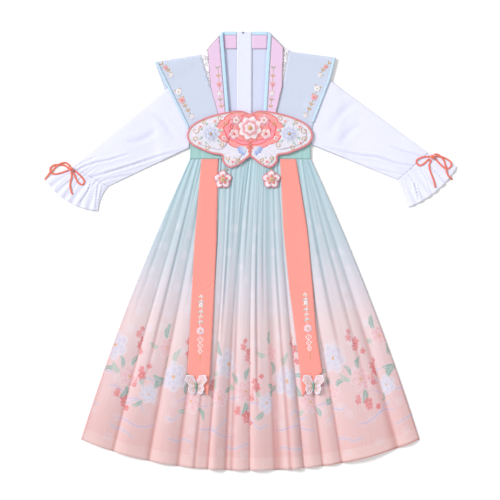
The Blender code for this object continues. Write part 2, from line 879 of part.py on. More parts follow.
def build_skirt_lining():
    """The lining that shows through the sheer front, shorter than it."""
    hem = smooth_curve([*reversed(LINING_HEM)], 5)
    left = []
    right = []
    for step in range(LINING_SIDE_STEPS + 1):
        place = skirt_point(1.0, LINING_SIDE_END * step / LINING_SIDE_STEPS)
        half = (place.x - BODY_AXIS_X) * LINING_SIDE_SHARE
        right.append(Point(BODY_AXIS_X + half, place.y))
        left.append(Point(BODY_AXIS_X - half, place.y))
    return slab("skirt_lining", [*right, *hem, *reversed(left)], level(1), CLOTH, "skirt_lining")


def streamer_edges(sections, y):
    for upper, lower in zip(sections, sections[1:]):
        if y >= lower.y:
            share = (upper.y - y) / (upper.y - lower.y)
            return mix(upper.left, lower.left, share), mix(upper.right, lower.right, share)
    return sections[-1].left, sections[-1].right


def build_streamer(name, sections, point, point_on_right, stack):
    """A hanging band that lies on the crests of the pleats, its end cut on a slant."""
    end = sections[-1].y
    row_step = (SKIRT_TOP_Y - end) / (STREAMER_ROWS - 1)
    under = []
    for row in range(STREAMER_ROWS + 1):
        grid_row = []
        y = SKIRT_TOP_Y - row_step * min(row, STREAMER_ROWS - 1)
        left, right = streamer_edges(sections, y)
        for column in range(STREAMER_COLUMNS + 1):
            share = column / STREAMER_COLUMNS
            x = mix(left, right, share)
            drop = 0.0
            if row == STREAMER_ROWS:
                toward = share if point_on_right else 1.0 - share
                drop = (end - point.y) * toward + STREAMER_HEM
                x += (point.x - (right if point_on_right else left)) * toward
            half_x = (right - left) / STREAMER_COLUMNS
            z = stack.top_in_box(x, y - drop, half_x, row_step) + GAP
            grid_row.append((x, y - drop, z))
        under.append(grid_row)
    return panel(name, under, raised(under, CLOTH), "streamer_satin")


def mirrored_outline(half, centre):
    """A closed outline from its right half, mirrored about the centre."""
    right = [Point(centre[0] + p[0], centre[1] + p[1]) for p in half]
    left = [Point(centre[0] - p[0], centre[1] + p[1]) for p in reversed(half[1:-1])]
    return right + left


def stack_top_under(stack, outline, steps):
    """Highest top in the box round a flat piece's outline."""
    left = min(point[0] for point in outline)
    right = max(point[0] for point in outline)
    low = min(point[1] for point in outline)
    high = max(point[1] for point in outline)
    half_x = (right - left) / 2
    half_y = (high - low) / 2
    return stack.top_in_box(left + half_x, low + half_y, half_x, half_y, steps)


def build_ornament(stack):
    """The padded butterfly ornament: its ground, four fields and the centre blossom."""
    half = smooth_curve(ORNAMENT_HALF_EDGE, 4)
    outline = mirrored_outline(half, ORNAMENT_CENTRE)
    base = stack_top_under(stack, outline, ORNAMENT_LOOK_STEPS) + GAP
    made = [slab("butterfly_ornament", outline, base, ORNAMENT_CLOTH, "ornament_embroidery")]
    over = base + ORNAMENT_CLOTH + GAP
    for name, field in (("upper", UPPER_FIELD), ("lower", LOWER_FIELD)):
        edge = smooth_curve(field, 3, closed=True)
        for side, sign in (("left", -1), ("right", 1)):
            shape = [Point(ORNAMENT_CENTRE[0] + sign * p[0], ORNAMENT_CENTRE[1] + p[1]) for p in edge]
            made.append(slab(f"ornament_field_{name}_{side}", shape, over, CLOTH, "ornament_fields"))
    centre = Point(ORNAMENT_CENTRE[0], ORNAMENT_CENTRE[1] + CENTRE_BLOSSOM_Y)
    made.append(blossom("ornament_blossom", centre, CENTRE_BLOSSOM_RADIUS, 6, over))
    return made


def blossom(name, centre, radius, petals, base):
    """A flower of padded cloth: round petals that rise to a button in the middle."""
    count = petals * PETAL_STEPS
    points = [(centre.x, centre.y, base)]
    for ring, (share, high) in enumerate(BLOSSOM_RINGS):
        for i in range(count):
            angle = 2.0 * math.pi * i / count
            wave = abs(math.cos(petals * angle / 2.0)) ** PETAL_ROUNDNESS
            reach = radius * share
            if share > BUTTON_SHARE:
                reach *= mix(PETAL_NOTCH, 1.0, wave)
            x = centre.x + reach * math.sin(angle)
            y = centre.y + reach * math.cos(angle)
            if ring == 0:
                points.append((x, y, base))
            points.append((x, y, base + high))
    return finish_blossom(name, points, count, centre, base)


def finish_blossom(name, points, count, centre, base):
    """Faces of a blossom whose rim points come in pairs, then one ring after another."""
    rings = len(BLOSSOM_RINGS)
    top = len(points)
    points.append((centre.x, centre.y, base + BLOSSOM_TOP))

    def rim(index, high):
        return 1 + 2 * (index % count) + high

    def ring_at(ring, index):
        if ring == 0:
            return rim(index, 1)
        return 1 + 2 * count + (ring - 1) * count + index % count

    faces = []
    for i in range(count):
        faces.append((0, rim(i, 0), rim(i + 1, 0)))
        faces.append((rim(i, 0), rim(i, 1), rim(i + 1, 1), rim(i + 1, 0)))
        for ring in range(rings - 1):
            faces.append((ring_at(ring, i), ring_at(ring + 1, i), ring_at(ring + 1, i + 1)))
            faces.append((ring_at(ring, i), ring_at(ring + 1, i + 1), ring_at(ring, i + 1)))
        faces.append((ring_at(rings - 1, i), top, ring_at(rings - 1, i + 1)))
    return add_object(name, points, faces, "blossom_satin")


def ellipsoid(name, centre, half, slot, segments, rings):
    """A rounded solid with three half sizes."""
    shape = bmesh.new()
    bmesh.ops.create_uvsphere(shape, u_segments=segments, v_segments=rings, radius=1.0)
    points = [
        (centre[0] + v.co.x * half[0], centre[1] + v.co.y * half[1], centre[2] + v.co.z * half[2])
        for v in shape.verts
    ]
    faces = [tuple(v.index for v in face.verts) for face in shape.faces]
    shape.free()
    return add_object(name, points, faces, slot)


def tube(name, route, radius, slot):
    """A round cord with closed ends through points in mm."""
    curve = bpy.data.curves.new(name, "CURVE")
    curve.dimensions = "3D"
    curve.bevel_depth = radius * MM
    curve.bevel_resolution = 2
    curve.use_fill_caps = True
    spline = curve.splines.new("POLY")
    spline.points.add(len(route) - 1)
    for point, place in zip(spline.points, route):
        point.co = (place[0] * MM, place[1] * MM, place[2] * MM, 1.0)
    curve.materials.append(material(slot))
    obj = bpy.data.objects.new(name, curve)
    bpy.context.scene.collection.objects.link(obj)
    return obj


def build_pendants(stack):
    """Two five-petalled flowers that hang from the ornament, each on a short link."""
    made = []
    for side, place, link in (
        ("left", LEFT_PENDANT, LEFT_LINK),
        ("right", RIGHT_PENDANT, RIGHT_LINK),
    ):
        reach = PENDANT_RADIUS
        base = stack.top_in_box(place.x, place.y, reach, reach, PENDANT_LOOK_STEPS) + GAP
        made.append(blossom(f"flower_pendant_{side}", place, reach, 5, base))
        route = [(end.x, end.y, base + LINK_RADIUS) for end in link]
        made.append(tube(f"pendant_link_{side}", route, LINK_RADIUS, "gold_thread"))
    return made


def build_streamer_butterfly(side, place, stack):
    """A gauze butterfly at a band's end: raised wings and a bead body."""
    rows = []
    for wing in STREAMER_BUTTERFLY:
        row = []
        for share in WING_SHARES:
            y = mix(wing.root_y, wing.tip_y, abs(share))
            lift = wing.half * BUTTERFLY_LIFT * abs(share)
            row.append((place.x + wing.half * share, place.y + y, lift))
        rows.append(row)
    seats = [stack.top_in_box(x, y, WING_CELL, WING_CELL) - lift for row in rows for x, y, lift in row]
    base = max(seats) + GAP
    under = [[(x, y, base + lift) for x, y, lift in row] for row in rows]
    wings = panel(f"streamer_butterfly_{side}", under, raised(under, CLOTH), "ornament_fields")
    half_x, half_y, half_z = BUTTERFLY_BODY_HALF
    sink = half_x * BUTTERFLY_LIFT
    centre = (place.x, place.y - BUTTERFLY_BODY_DROP, base + CLOTH + sink + GAP + half_z)
    name = f"streamer_butterfly_body_{side}"
    body = ellipsoid(name, centre, BUTTERFLY_BODY_HALF, "gold_thread", 8, 6)
    return [wings, body]


def cord_heights(route, stack):
    """Height of a cord's middle at each point, clear of all that it crosses near there."""
    tops = []
    for i, place in enumerate(route):
        before = route[max(i - 1, 0)]
        after = route[min(i + 1, len(route) - 1)]
        way = (after - before).normalized()
        across = Vector((-way.y, way.x)) * CORD_RADIUS * CORD_SIDE_ROOM
        tops.append(max(stack.top(*(place + across * k)) for k in (-1.0, -0.5, 0.0, 0.5, 1.0)))
    return tops


def build_strand(strand, stack):
    """One free run of the drawstring: a loop of the bow or a tail."""
    fine = smooth_curve(strand.points, CORD_CURVE_STEPS)
    tops = cord_heights(fine, stack)
    length = sum((b - a).length for a, b in zip(fine, fine[1:]))
    count = max(round(length / CORD_STEP), 4)
    window = len(fine) // count
    route = []
    for i in range(count + 1):
        index = round(i * (len(fine) - 1) / count)
        near = tops[max(index - window, 0):index + window + 1]
        route.append((fine[index].x, fine[index].y, max(near) + GAP + CORD_RADIUS))
    return tube(strand.name, route, CORD_RADIUS, "cord")


def build_bow(side, knot, strands, stack):
    """A drawstring bow: its knot, two loops and two tails."""
    top = stack.top_in_box(knot.x, knot.y, KNOT_HALF[0], KNOT_HALF[1])
    centre = (knot.x, knot.y, top + GAP + KNOT_HALF[2])
    ellipsoid(f"bow_knot_{side}", centre, KNOT_HALF, "cord", 12, 8)
    for strand in strands:
        stack.lay(build_strand(strand, stack))


def main():
    clear_scene()
    stack = Stack()
    pieces = [build_vest_back(), build_blouse_back(), *build_neck_inside(), *build_blouse_fronts()]
    pieces.append(build_sleeve("sleeve_left", LEFT_ARMHOLE, LEFT_CUFF_SEAM))
    pieces.append(build_sleeve("sleeve_right", RIGHT_ARMHOLE, RIGHT_CUFF_SEAM))
    pieces.append(build_cuff("cuff_left", LEFT_CUFF, -1))
    pieces.append(build_cuff("cuff_right", RIGHT_CUFF, 1))
    pieces += build_vest_fronts()
    pieces += build_collar("left", -1, LEFT_COLLAR_INNER, LEFT_COLLAR_OUTER)
    pieces += build_collar("right", 1, RIGHT_COLLAR_INNER, RIGHT_COLLAR_OUTER)
    pieces += build_waistband()
    pieces += [build_skirt_back(), build_skirt_lining(), build_skirt_front()]
    for piece in pieces:
        stack.lay(piece)
    stack.lay(build_streamer("streamer_left", LEFT_STREAMER, LEFT_STREAMER_POINT, True, stack))
    stack.lay(build_streamer("streamer_right", RIGHT_STREAMER, RIGHT_STREAMER_POINT, False, stack))
    for piece in build_ornament(stack):
        stack.lay(piece)
    build_pendants(stack)
    build_streamer_butterfly("left", LEFT_BUTTERFLY, stack)
    build_streamer_butterfly("right", RIGHT_BUTTERFLY, stack)
    build_bow("left", LEFT_KNOT, LEFT_STRANDS, stack)
    build_bow("right", RIGHT_KNOT, RIGHT_STRANDS, stack)


main()
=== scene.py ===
"""Cloth, embroidery and trimmings of a child's hanfu dress that lies flat, face up.

Lengths in the tables are in millimetres and MM turns them into metres. Flat pieces take their
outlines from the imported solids, so each shell lies in the form of the solid that it stands for.
"""

import json
import math
from collections import namedtuple

import bmesh
import bpy
import numpy as np
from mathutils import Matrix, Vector, geometry
from mathutils.bvhtree import BVHTree

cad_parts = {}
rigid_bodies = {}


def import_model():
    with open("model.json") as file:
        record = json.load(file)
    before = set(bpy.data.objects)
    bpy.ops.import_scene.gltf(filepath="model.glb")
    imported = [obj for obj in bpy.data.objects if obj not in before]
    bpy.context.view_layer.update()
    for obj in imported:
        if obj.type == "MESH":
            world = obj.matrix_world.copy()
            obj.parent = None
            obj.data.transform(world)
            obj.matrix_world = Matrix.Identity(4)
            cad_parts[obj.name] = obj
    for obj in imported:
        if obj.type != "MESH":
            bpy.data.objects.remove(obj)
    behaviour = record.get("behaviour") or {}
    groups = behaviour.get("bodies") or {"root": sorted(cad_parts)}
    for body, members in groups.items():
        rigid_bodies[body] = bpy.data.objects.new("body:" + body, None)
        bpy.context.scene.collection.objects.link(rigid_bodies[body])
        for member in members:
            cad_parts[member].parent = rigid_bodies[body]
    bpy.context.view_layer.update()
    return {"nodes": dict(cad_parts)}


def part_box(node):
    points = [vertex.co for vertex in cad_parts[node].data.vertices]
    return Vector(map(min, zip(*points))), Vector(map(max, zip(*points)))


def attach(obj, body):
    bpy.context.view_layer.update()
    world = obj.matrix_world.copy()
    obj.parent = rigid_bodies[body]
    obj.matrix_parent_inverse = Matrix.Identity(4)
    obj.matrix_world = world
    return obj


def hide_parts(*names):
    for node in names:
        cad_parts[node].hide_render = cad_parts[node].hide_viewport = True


bl_info = {
    "name": "Child's Hanfu Dress",
    "version": (1, 0, 0),
    "blender": (4, 5, 0),
    "location": "View3D > Sidebar > Dress",
    "description": "Cloth, embroidery and trimmings of a child's hanfu dress laid flat",
    "category": "Add Mesh",
}

for leftover in list(bpy.data.objects):
    bpy.data.objects.remove(leftover, do_unlink=True)

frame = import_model()
NODES = frame["nodes"]

MM = 0.001
CLOTH = 1.2
GAP = 0.3
LAYER = CLOTH + GAP
SKIN = 0.1
WELD = 1e-6
UPWARD = 0.3
DOWN = Vector((0.0, 0.0, -1.0))
SKY = 200.0
CREASE_STEP = 6.0
OUTLINE_STEP = 2.5
FAR_INSIDE = 99.0
SIDES = ("left", "right")

# A cut that fills less of its smallest box than this is a thin strip. The sizes that flat_size works out have
# a margin.
STRIP_SHARE = 0.36
FLAT_MARGIN = 1.002

# The stage, in metres
FLOOR_HALF = 3.0
FLOOR_LEVEL = -0.0004
CAMERA_PLACE = (-0.003, 0.0024, 3.0)
CAMERA_LENS = 90.0
CAMERA_SENSOR = 36.0

Lay = namedtuple("Lay", "held on pieces", defaults=((), ()))
Crease = namedtuple("Crease", "depth width points")
Fold = namedtuple("Fold", "waist hem rise crest")
Line = namedtuple("Line", "waist hem end depth width")
Cuff = namedtuple("Cuff", "upper_start upper_end lower_start lower_end hem_sag upper_bow lower_bow")
Strand = namedtuple("Strand", "name far_end points")
Motif = namedtuple("Motif", "u v size turn kind")
Ring = namedtuple("Ring", "reach wave petals turn")
Wing = namedtuple("Wing", "root_y half tip_y")

# The skirt's form, as its solid has it
BODY_AXIS_X = -2.4
WAIST_HALF = 144.0
HEM_HALF = 405.5
HEM_LOW_Y = -525.6
HEM_RISE = 74.0
HEM_POWER = 2.3
SIDE_BOW = 51.0
SKIRT_TOP_Y = 220.5
SKIRT_LENGTH = SKIRT_TOP_Y - HEM_LOW_Y
FOLDS = (
    Fold(-1.00, -1.00, 6.0, 0.50),
    Fold(-0.90, -0.81, 9.0, 0.35),
    Fold(-0.72, -0.60, 8.0, 0.45),
    Fold(-0.56, -0.43, 6.0, 0.50),
    Fold(-0.38, -0.25, 12.0, 0.30),
    Fold(-0.02, -0.145, 8.0, 0.55),
    Fold(0.10, -0.003, 10.0, 0.30),
    Fold(0.30, 0.15, 11.0, 0.70),
    Fold(0.46, 0.318, 7.0, 0.45),
    Fold(0.64, 0.43, 6.0, 0.50),
    Fold(0.80, 0.54, 11.0, 0.35),
    Fold(0.96, 0.87, 6.0, 0.50),
)
FOLD_STEPS = 30
SKIRT_ROWS = 100
WAIST_RISE_SHARE = 0.12
FOLD_SETTLE_POWER = 5
HEM_EASE_START = 0.9
HIDDEN_CLOTH = 14.0
VALLEY_SHARPNESS = 0.2

# Softer lines between the pleats: shares of the half width at the waist and at the hem, where
# each ends on the way down, its depth and its width as a share of the half width
SOFT_LINES = (
    Line(-0.97, -0.93, 0.62, 1.6, 0.016),
    Line(-0.84, -0.72, 0.86, 2.4, 0.013),
    Line(-0.66, -0.53, 0.55, 1.6, 0.012),
    Line(-0.47, -0.33, 1.30, 2.4, 0.011),
    Line(-0.30, -0.22, 0.70, 2.8, 0.013),
    Line(-0.20, -0.18, 0.40, 2.2, 0.014),
    Line(-0.10, -0.11, 1.30, 2.4, 0.011),
    Line(0.03, -0.06, 0.48, 1.8, 0.012),
    Line(0.17, 0.05, 0.88, 3.0, 0.011),
    Line(0.24, 0.11, 0.60, 1.8, 0.011),
    Line(0.38, 0.24, 1.30, 2.6, 0.011),
    Line(0.53, 0.37, 0.80, 1.9, 0.012),
    Line(0.71, 0.48, 0.66, 1.6, 0.013),
    Line(0.87, 0.66, 0.78, 2.6, 0.014),
    Line(0.92, 0.78, 0.92, 2.0, 0.012),
)
GATHER_COUNT = 27
GATHER_RISE = 1.7
GATHER_FADE = 0.30

# Armholes and cuff seams, from the upper to the lower end, and the ruffles
ARMHOLES = {"left": ((-123.0, 454.4), (-149.6, 247.0)), "right": ((93.0, 480.6), (146.0, 254.0))}
CUFF_SEAMS = {"left": ((-429.4, 201.6), (-343.3, 155.2)), "right": ((424.6, 235.0), (351.2, 170.8))}
SLEEVE_STEP = (0.32, 0.42, 0.7)
SLEEVE_BULGE = 3.0
SLEEVE_ROWS = 90
SLEEVE_COLUMNS = 80
SLEEVE_GATHERS = 9
CUFF_GATHER_RISE = 0.9
SEAM_TUCK = 1.0
EDGE_ROUND_POWER = 6
TUBE_HALF = 1.35
TUBE_WALL = 0.5
CUFFS = {
    "left": Cuff((-429.8, 201.2), (-493.8, 171.4), (-343.6, 154.8), (-367.1, 96.2), -17.7, -3.0, -5.0),
    "right": Cuff((424.9, 234.7), (493.8, 202.1), (351.5, 170.5), (376.5, 104.8), 13.0, 3.0, 0.5),
}
CUFF_ROWS = 40
CUFF_COLUMNS = 130
RUFFLE_WAVES = 7
RUFFLE_RISE = 2.4

# Creases: the depth and width of each, and the places that it runs through
SLEEVE_CREASES = {
    "left": (
        Crease(2.4, 2.8, ((-420, 193), (-375, 211), (-341, 218), (-291, 233))),
        Crease(3.0, 3.0, ((-398, 172), (-351, 186), (-291, 204), (-255, 216), (-215, 229), (-164, 241))),
        Crease(1.8, 2.8, ((-366, 166), (-312, 179), (-270, 184), (-236, 192), (-165, 232))),
        Crease(1.2, 7.0, ((-300, 262), (-262, 268), (-226, 291))),
        Crease(1.0, 8.0, ((-236, 330), (-206, 300), (-182, 262))),
        Crease(1.6, 2.4, ((-428, 198), (-400, 214), (-372, 226))),
    ),
    "right": (
        Crease(1.8, 2.8, ((416, 226), (372, 236), (330, 252))),
        Crease(2.4, 3.0, ((398, 203), (352, 209), (305, 224), (258, 230), (206, 241), (168, 252))),
        Crease(1.6, 2.8, ((370, 180), (330, 190), (290, 198), (240, 214))),
        Crease(1.0, 8.0, ((262, 306), (232, 284), (206, 250))),
        Crease(1.0, 8.0, ((248, 360), (214, 330), (184, 286))),
    ),
}
CUFF_CREASES = {
    "left": (
        Crease(2.4, 2.2, ((-383, 170), (-392, 142), (-412, 113))),
        Crease(2.6, 2.4, ((-366, 160), (-370, 130), (-373, 101))),
        Crease(1.4, 2.0, ((-405, 180), (-424, 152), (-441, 126))),
        Crease(1.2, 2.0, ((-416, 190), (-448, 168), (-470, 146))),
        Crease(1.6, 1.8, ((-356, 160), (-362, 130), (-369, 104))),
    ),
    "right": (
        Crease(2.8, 2.2, ((384, 176), (392, 160), (402, 122))),
        Crease(1.6, 2.0, ((405, 200), (424, 164), (436, 130))),
        Crease(2.0, 2.4, ((418, 214), (447, 186), (470, 160))),
        Crease(1.8, 2.0, ((434, 226), (470, 203), (490, 190))),
        Crease(1.6, 2.0, ((362, 180), (368, 150), (382, 116))),
    ),
}
BAND_CREASES = (
    Crease(1.4, 2.2, ((-82, -60), (-97, -84), (-118, -96))),
    Crease(1.2, 2.6, ((-142, -170), (-122, -188), (-104, -192))),
    Crease(1.3, 2.2, ((-94, -262), (-118, -246), (-136, -250))),
    Crease(1.6, 2.2, ((157, -196), (144, -214), (120, -224))),
    Crease(1.4, 2.0, ((162, -226), (148, -240), (134, -246))),
    Crease(1.2, 2.6, ((96, -70), (112, -88), (136, -92))),
)

# The drawstrings' free runs. A loop goes back to its knot and a tail ends bare.
CORD_WIDTH = 4.2
CORD_THICK = 1.1
CORD_STEP = 2.2
RIBBON_SIDES = 10
STRANDS = (
    Strand("bow_loop_outer_left", "object", (
        (-438.4, 198.4), (-448.0, 205.0), (-471.0, 206.5), (-482.0, 198.5),
        (-480.0, 188.0), (-469.0, 184.4), (-450.0, 189.0), (-438.4, 193.4))),
    Strand("bow_loop_inner_left", "object", (
        (-425.2, 194.6), (-408.0, 179.0), (-400.0, 167.0),
        (-405.0, 159.0), (-416.0, 166.0), (-427.0, 190.6))),
    Strand("bow_tail_outer_left", "bare", (
        (-433.8, 202.4), (-446.0, 212.0), (-464.0, 206.0),
        (-474.0, 196.0), (-484.0, 186.0), (-495.0, 171.2))),
    Strand("bow_tail_inner_left", "bare", (
        (-432.0, 189.6), (-430.0, 180.0), (-434.0, 157.0), (-428.6, 135.6))),
    Strand("bow_loop_outer_right", "object", (
        (440.6, 227.0), (460.0, 225.0), (477.0, 215.0), (479.0, 204.0),
        (470.0, 197.6), (458.0, 203.0), (440.0, 221.8))),
    Strand("bow_loop_inner_right", "object", (
        (427.4, 226.4), (412.0, 225.0), (398.0, 219.0), (397.0, 210.0), (408.0, 205.6), (427.6, 221.4))),
    Strand("bow_tail_outer_right", "bare", (
        (437.2, 231.2), (450.0, 230.0), (462.0, 216.0), (466.0, 200.0), (471.0, 182.0), (482.6, 171.6))),
    Strand("bow_tail_inner_right", "bare", (
        (431.0, 219.0), (426.6, 203.0), (431.0, 186.0), (438.0, 168.0), (441.0, 152.0))),
)

# One repeat of the skirt's printed border, in mm along the cloth and down from the waist
PRINT_REPEAT = 392.0
PRINT_SHIFT = 60.0
PEONIES = (
    Motif(52.0, 492.0, 40.0, 0.3, 0.0),
    Motif(116.0, 556.0, 33.0, 1.1, 1.0),
    Motif(30.0, 572.0, 25.0, 2.0, 1.0),
    Motif(214.0, 466.0, 29.0, 0.8, 1.0),
    Motif(262.0, 534.0, 41.0, 2.4, 0.0),
    Motif(190.0, 586.0, 27.0, 1.7, 0.0),
    Motif(334.0, 588.0, 31.0, 0.2, 1.0),
    Motif(346.0, 474.0, 24.0, 1.3, 0.0),
)
LEAF_TURNS = (0.5, 2.3, 3.7)
LEAVES = tuple(
    Motif(
        peony.u + (peony.size + 9.0) * math.cos(peony.turn + turn),
        peony.v + (peony.size + 9.0) * math.sin(peony.turn + turn),
        21.0 + 3.0 * math.sin(7.0 * turn + peony.u),
        peony.turn + turn + 0.35,
        i % 2,
    )
    for peony in PEONIES
    for i, turn in enumerate(LEAF_TURNS)
)
SPRAY_SIZES = (8.0, 11.0, 14.0, 12.0, 9.0)
SPRAY_STEP = 15.0
SPRAY_SWAY = 6.0
SPRAYS = (
    (108.0, 436.0, 0.45), (292.0, 430.0, 0.2), (170.0, 520.0, -0.5),
    (384.0, 536.0, 0.5), (90.0, 596.0, 0.9),
)
BLOSSOMS = tuple(
    Motif(
        u + SPRAY_STEP * i * math.sin(lean) + SPRAY_SWAY * (-1) ** i,
        v + SPRAY_STEP * i * math.cos(lean),
        size,
        i * 1.3 + u,
        i % 2 * 0.6,
    )
    for u, v, lean in SPRAYS
    for i, size in enumerate(SPRAY_SIZES)
)
PEONY_RINGS = (
    Ring(0.70, 0.30, 6, 0.0), Ring(0.54, 0.20, 5, 0.9), Ring(0.36, 0.16, 5, 2.1), Ring(0.20, 0.09, 4, 0.4),
)
RIBBON_LINES = (
    (562.0, 15.0, 31.0, 0.0), (596.0, 12.0, 44.0, 1.7), (628.0, 16.0, 27.0, 3.1), (656.0, 10.0, 52.0, 0.8),
    (690.0, 7.0, 36.0, 2.2),
)
SKIRT_TONES = (
    (0.0, "D0EAF2"), (0.29, "DDE7F0"), (0.42, "EFE9F2"), (0.55, "F8E6E9"), (0.71, "F7DDE0"), (1.0, "F5D1D0"),
)

# Half of the gauze butterfly at a band's end
GAUZE_WINGS = (
    Wing(9.0, 6.0, 24.0), Wing(7.0, 22.0, 26.0), Wing(4.0, 26.0, 14.0), Wing(0.0, 17.0, 1.0),
    Wing(-3.0, 19.0, -9.0), Wing(-6.0, 13.0, -20.0), Wing(-9.0, 4.0, -19.0),
)
BUTTERFLY_LIFT = 0.22
BUTTERFLIES = {"left": (-131.4, -322.0), "right": (148.2, -322.0)}
PENDANTS = {"left": (-67.8, 171.0), "right": (48.4, 171.0)}
PENDANT_RADIUS = 23.0
ORNAMENT_X = -3.0
ORNAMENT_Y = 266.0
BORDER = 4.0

# Needlework on the collar, the flared shoulders and the hanging bands: places and what sits there
SPRIGS = (
    (
        ((-80.0, 437.0), (-78.0, 417.0), (-77.0, 398.0), (-75.6, 377.0), (-74.0, 360.0), (-71.0, 344.0)),
        "lgpwlg",
    ),
    (((53.0, 437.0), (51.6, 417.0), (51.0, 398.0), (50.0, 377.0), (48.4, 360.0), (46.0, 344.0)), "lgpwlg"),
    (((-213.0, 447.0), (-205.0, 439.0), (-197.0, 431.0), (-192.0, 421.0)), "gpgw"),
    (((186.0, 449.0), (178.0, 441.0), (170.0, 432.0), (165.0, 421.0)), "gpgw"),
    (((-174.0, 381.0), (-165.6, 361.0), (-157.0, 346.0), (-150.0, 335.0), (-142.0, 321.0)), "WPggw"),
    (((158.0, 389.0), (150.6, 368.0), (143.0, 350.0), (138.0, 338.0), (130.0, 324.0)), "WPggw"),
)
BAND_COLUMNS = {"left": ((-119.6, -103.0), (-123.0, -263.0)), "right": ((128.3, -98.0), (141.0, -256.0))}


def dye_code(code):
    """Linear colour of a hexadecimal one."""
    channels = [int(code[i:i + 2], 16) / 255.0 for i in (0, 2, 4)]
    return tuple(c / 12.92 if c <= 0.04045 else ((c + 0.055) / 1.055) ** 2.4 for c in channels)


class DressSizes(bpy.types.PropertyGroup):
    """Sizes of the cloth and of the sewing."""

    wall: bpy.props.FloatProperty(
        name="Cloth wall", description="Thickness of each thin shell", default=0.0008, unit="LENGTH"
    )
    band_wall: bpy.props.FloatProperty(
        name="Band wall", description="Thickness of the folded bands", default=0.0014, unit="LENGTH"
    )
    crease_share: bpy.props.FloatProperty(
        name="Crease depth",
        description="Share of the full depth of the creases",
        default=1.0,
        min=0.0,
        max=1.5,
    )
    stitch_length: bpy.props.FloatProperty(
        name="Stitch", description="Length of one running stitch", default=0.0032, unit="LENGTH"
    )


def colour(name, description, code):
    """A colour that a user can change."""
    return bpy.props.FloatVectorProperty(
        name=name, description=description, subtype="COLOR", size=3, min=0.0, max=1.0, default=dye_code(code)
    )


class DressColours(bpy.types.PropertyGroup):
    """Colours of the cloth, cords and threads."""

    blouse: colour("Blouse", "Voile of the sleeves, ruffles and back", "E8E9FC")
    organza: colour("Organza", "Sheer vest", "DFE8FB")
    binding: colour("Binding", "Satin binding and piping", "C4E2F8")
    collar: colour("Collar", "Satin of the collar bands", "E8C8E6")
    waistband: colour("Waistband", "Satin of the waistband", "A2CBC9")
    band: colour("Hanging bands", "Satin of the two bands", "F79A90")
    cord: colour("Drawstring", "Flat cord of the bows", "FA7C66")
    ground: colour("Ornament", "Embroidered border of the ornament", "F695A4")
    field: colour("Fields", "Lilac-white fields of the ornament", "ECE8F6")
    gold: colour("Gold", "Gold thread and beads", "D9AC74")
    red: colour("Red", "Red thread", "E23A2A")
    blue: colour("Blue", "Blue thread", "7FA3EA")
    leaf: colour("Leaf", "Teal leaf thread", "7FAFA4")
    salmon: colour("Salmon", "Salmon thread", "F99C9C")
    white: colour("White", "White thread", "FAF7FB")
    pink: colour("Pink", "Pale pink thread", "F9BFCB")


class Signal:
    """One value of a material's tree. Its operators add Math nodes."""

    def __init__(self, dye, socket):
        self.dye = dye
        self.socket = socket

    def math(self, operation, *others):
        values = {i: value for i, value in enumerate((self, *others))}
        return self.dye.node("ShaderNodeMath", {"operation": operation}, values)

    def __add__(self, other):
        return self.math("ADD", other)

    def __sub__(self, other):
        return self.math("SUBTRACT", other)

    def __mul__(self, other):
        return self.math("MULTIPLY", other)

    def __pow__(self, other):
        return self.math("POWER", other)

    def __rsub__(self, other):
        return self.dye.node("ShaderNodeMath", {"operation": "SUBTRACT"}, {0: other, 1: self})

    __radd__ = __add__
    __rmul__ = __mul__

    def sin(self):
        return self.math("SINE")

    def cos(self):
        return self.math("COSINE")

    def size(self):
        return self.math("ABSOLUTE")

    def soft(self, low, high):
        """A smooth step from 0 at low to 1 at high."""
        inputs = {"Value": self, "From Min": low, "From Max": high}
        return self.dye.node("ShaderNodeMapRange", {"interpolation_type": "SMOOTHSTEP"}, inputs)


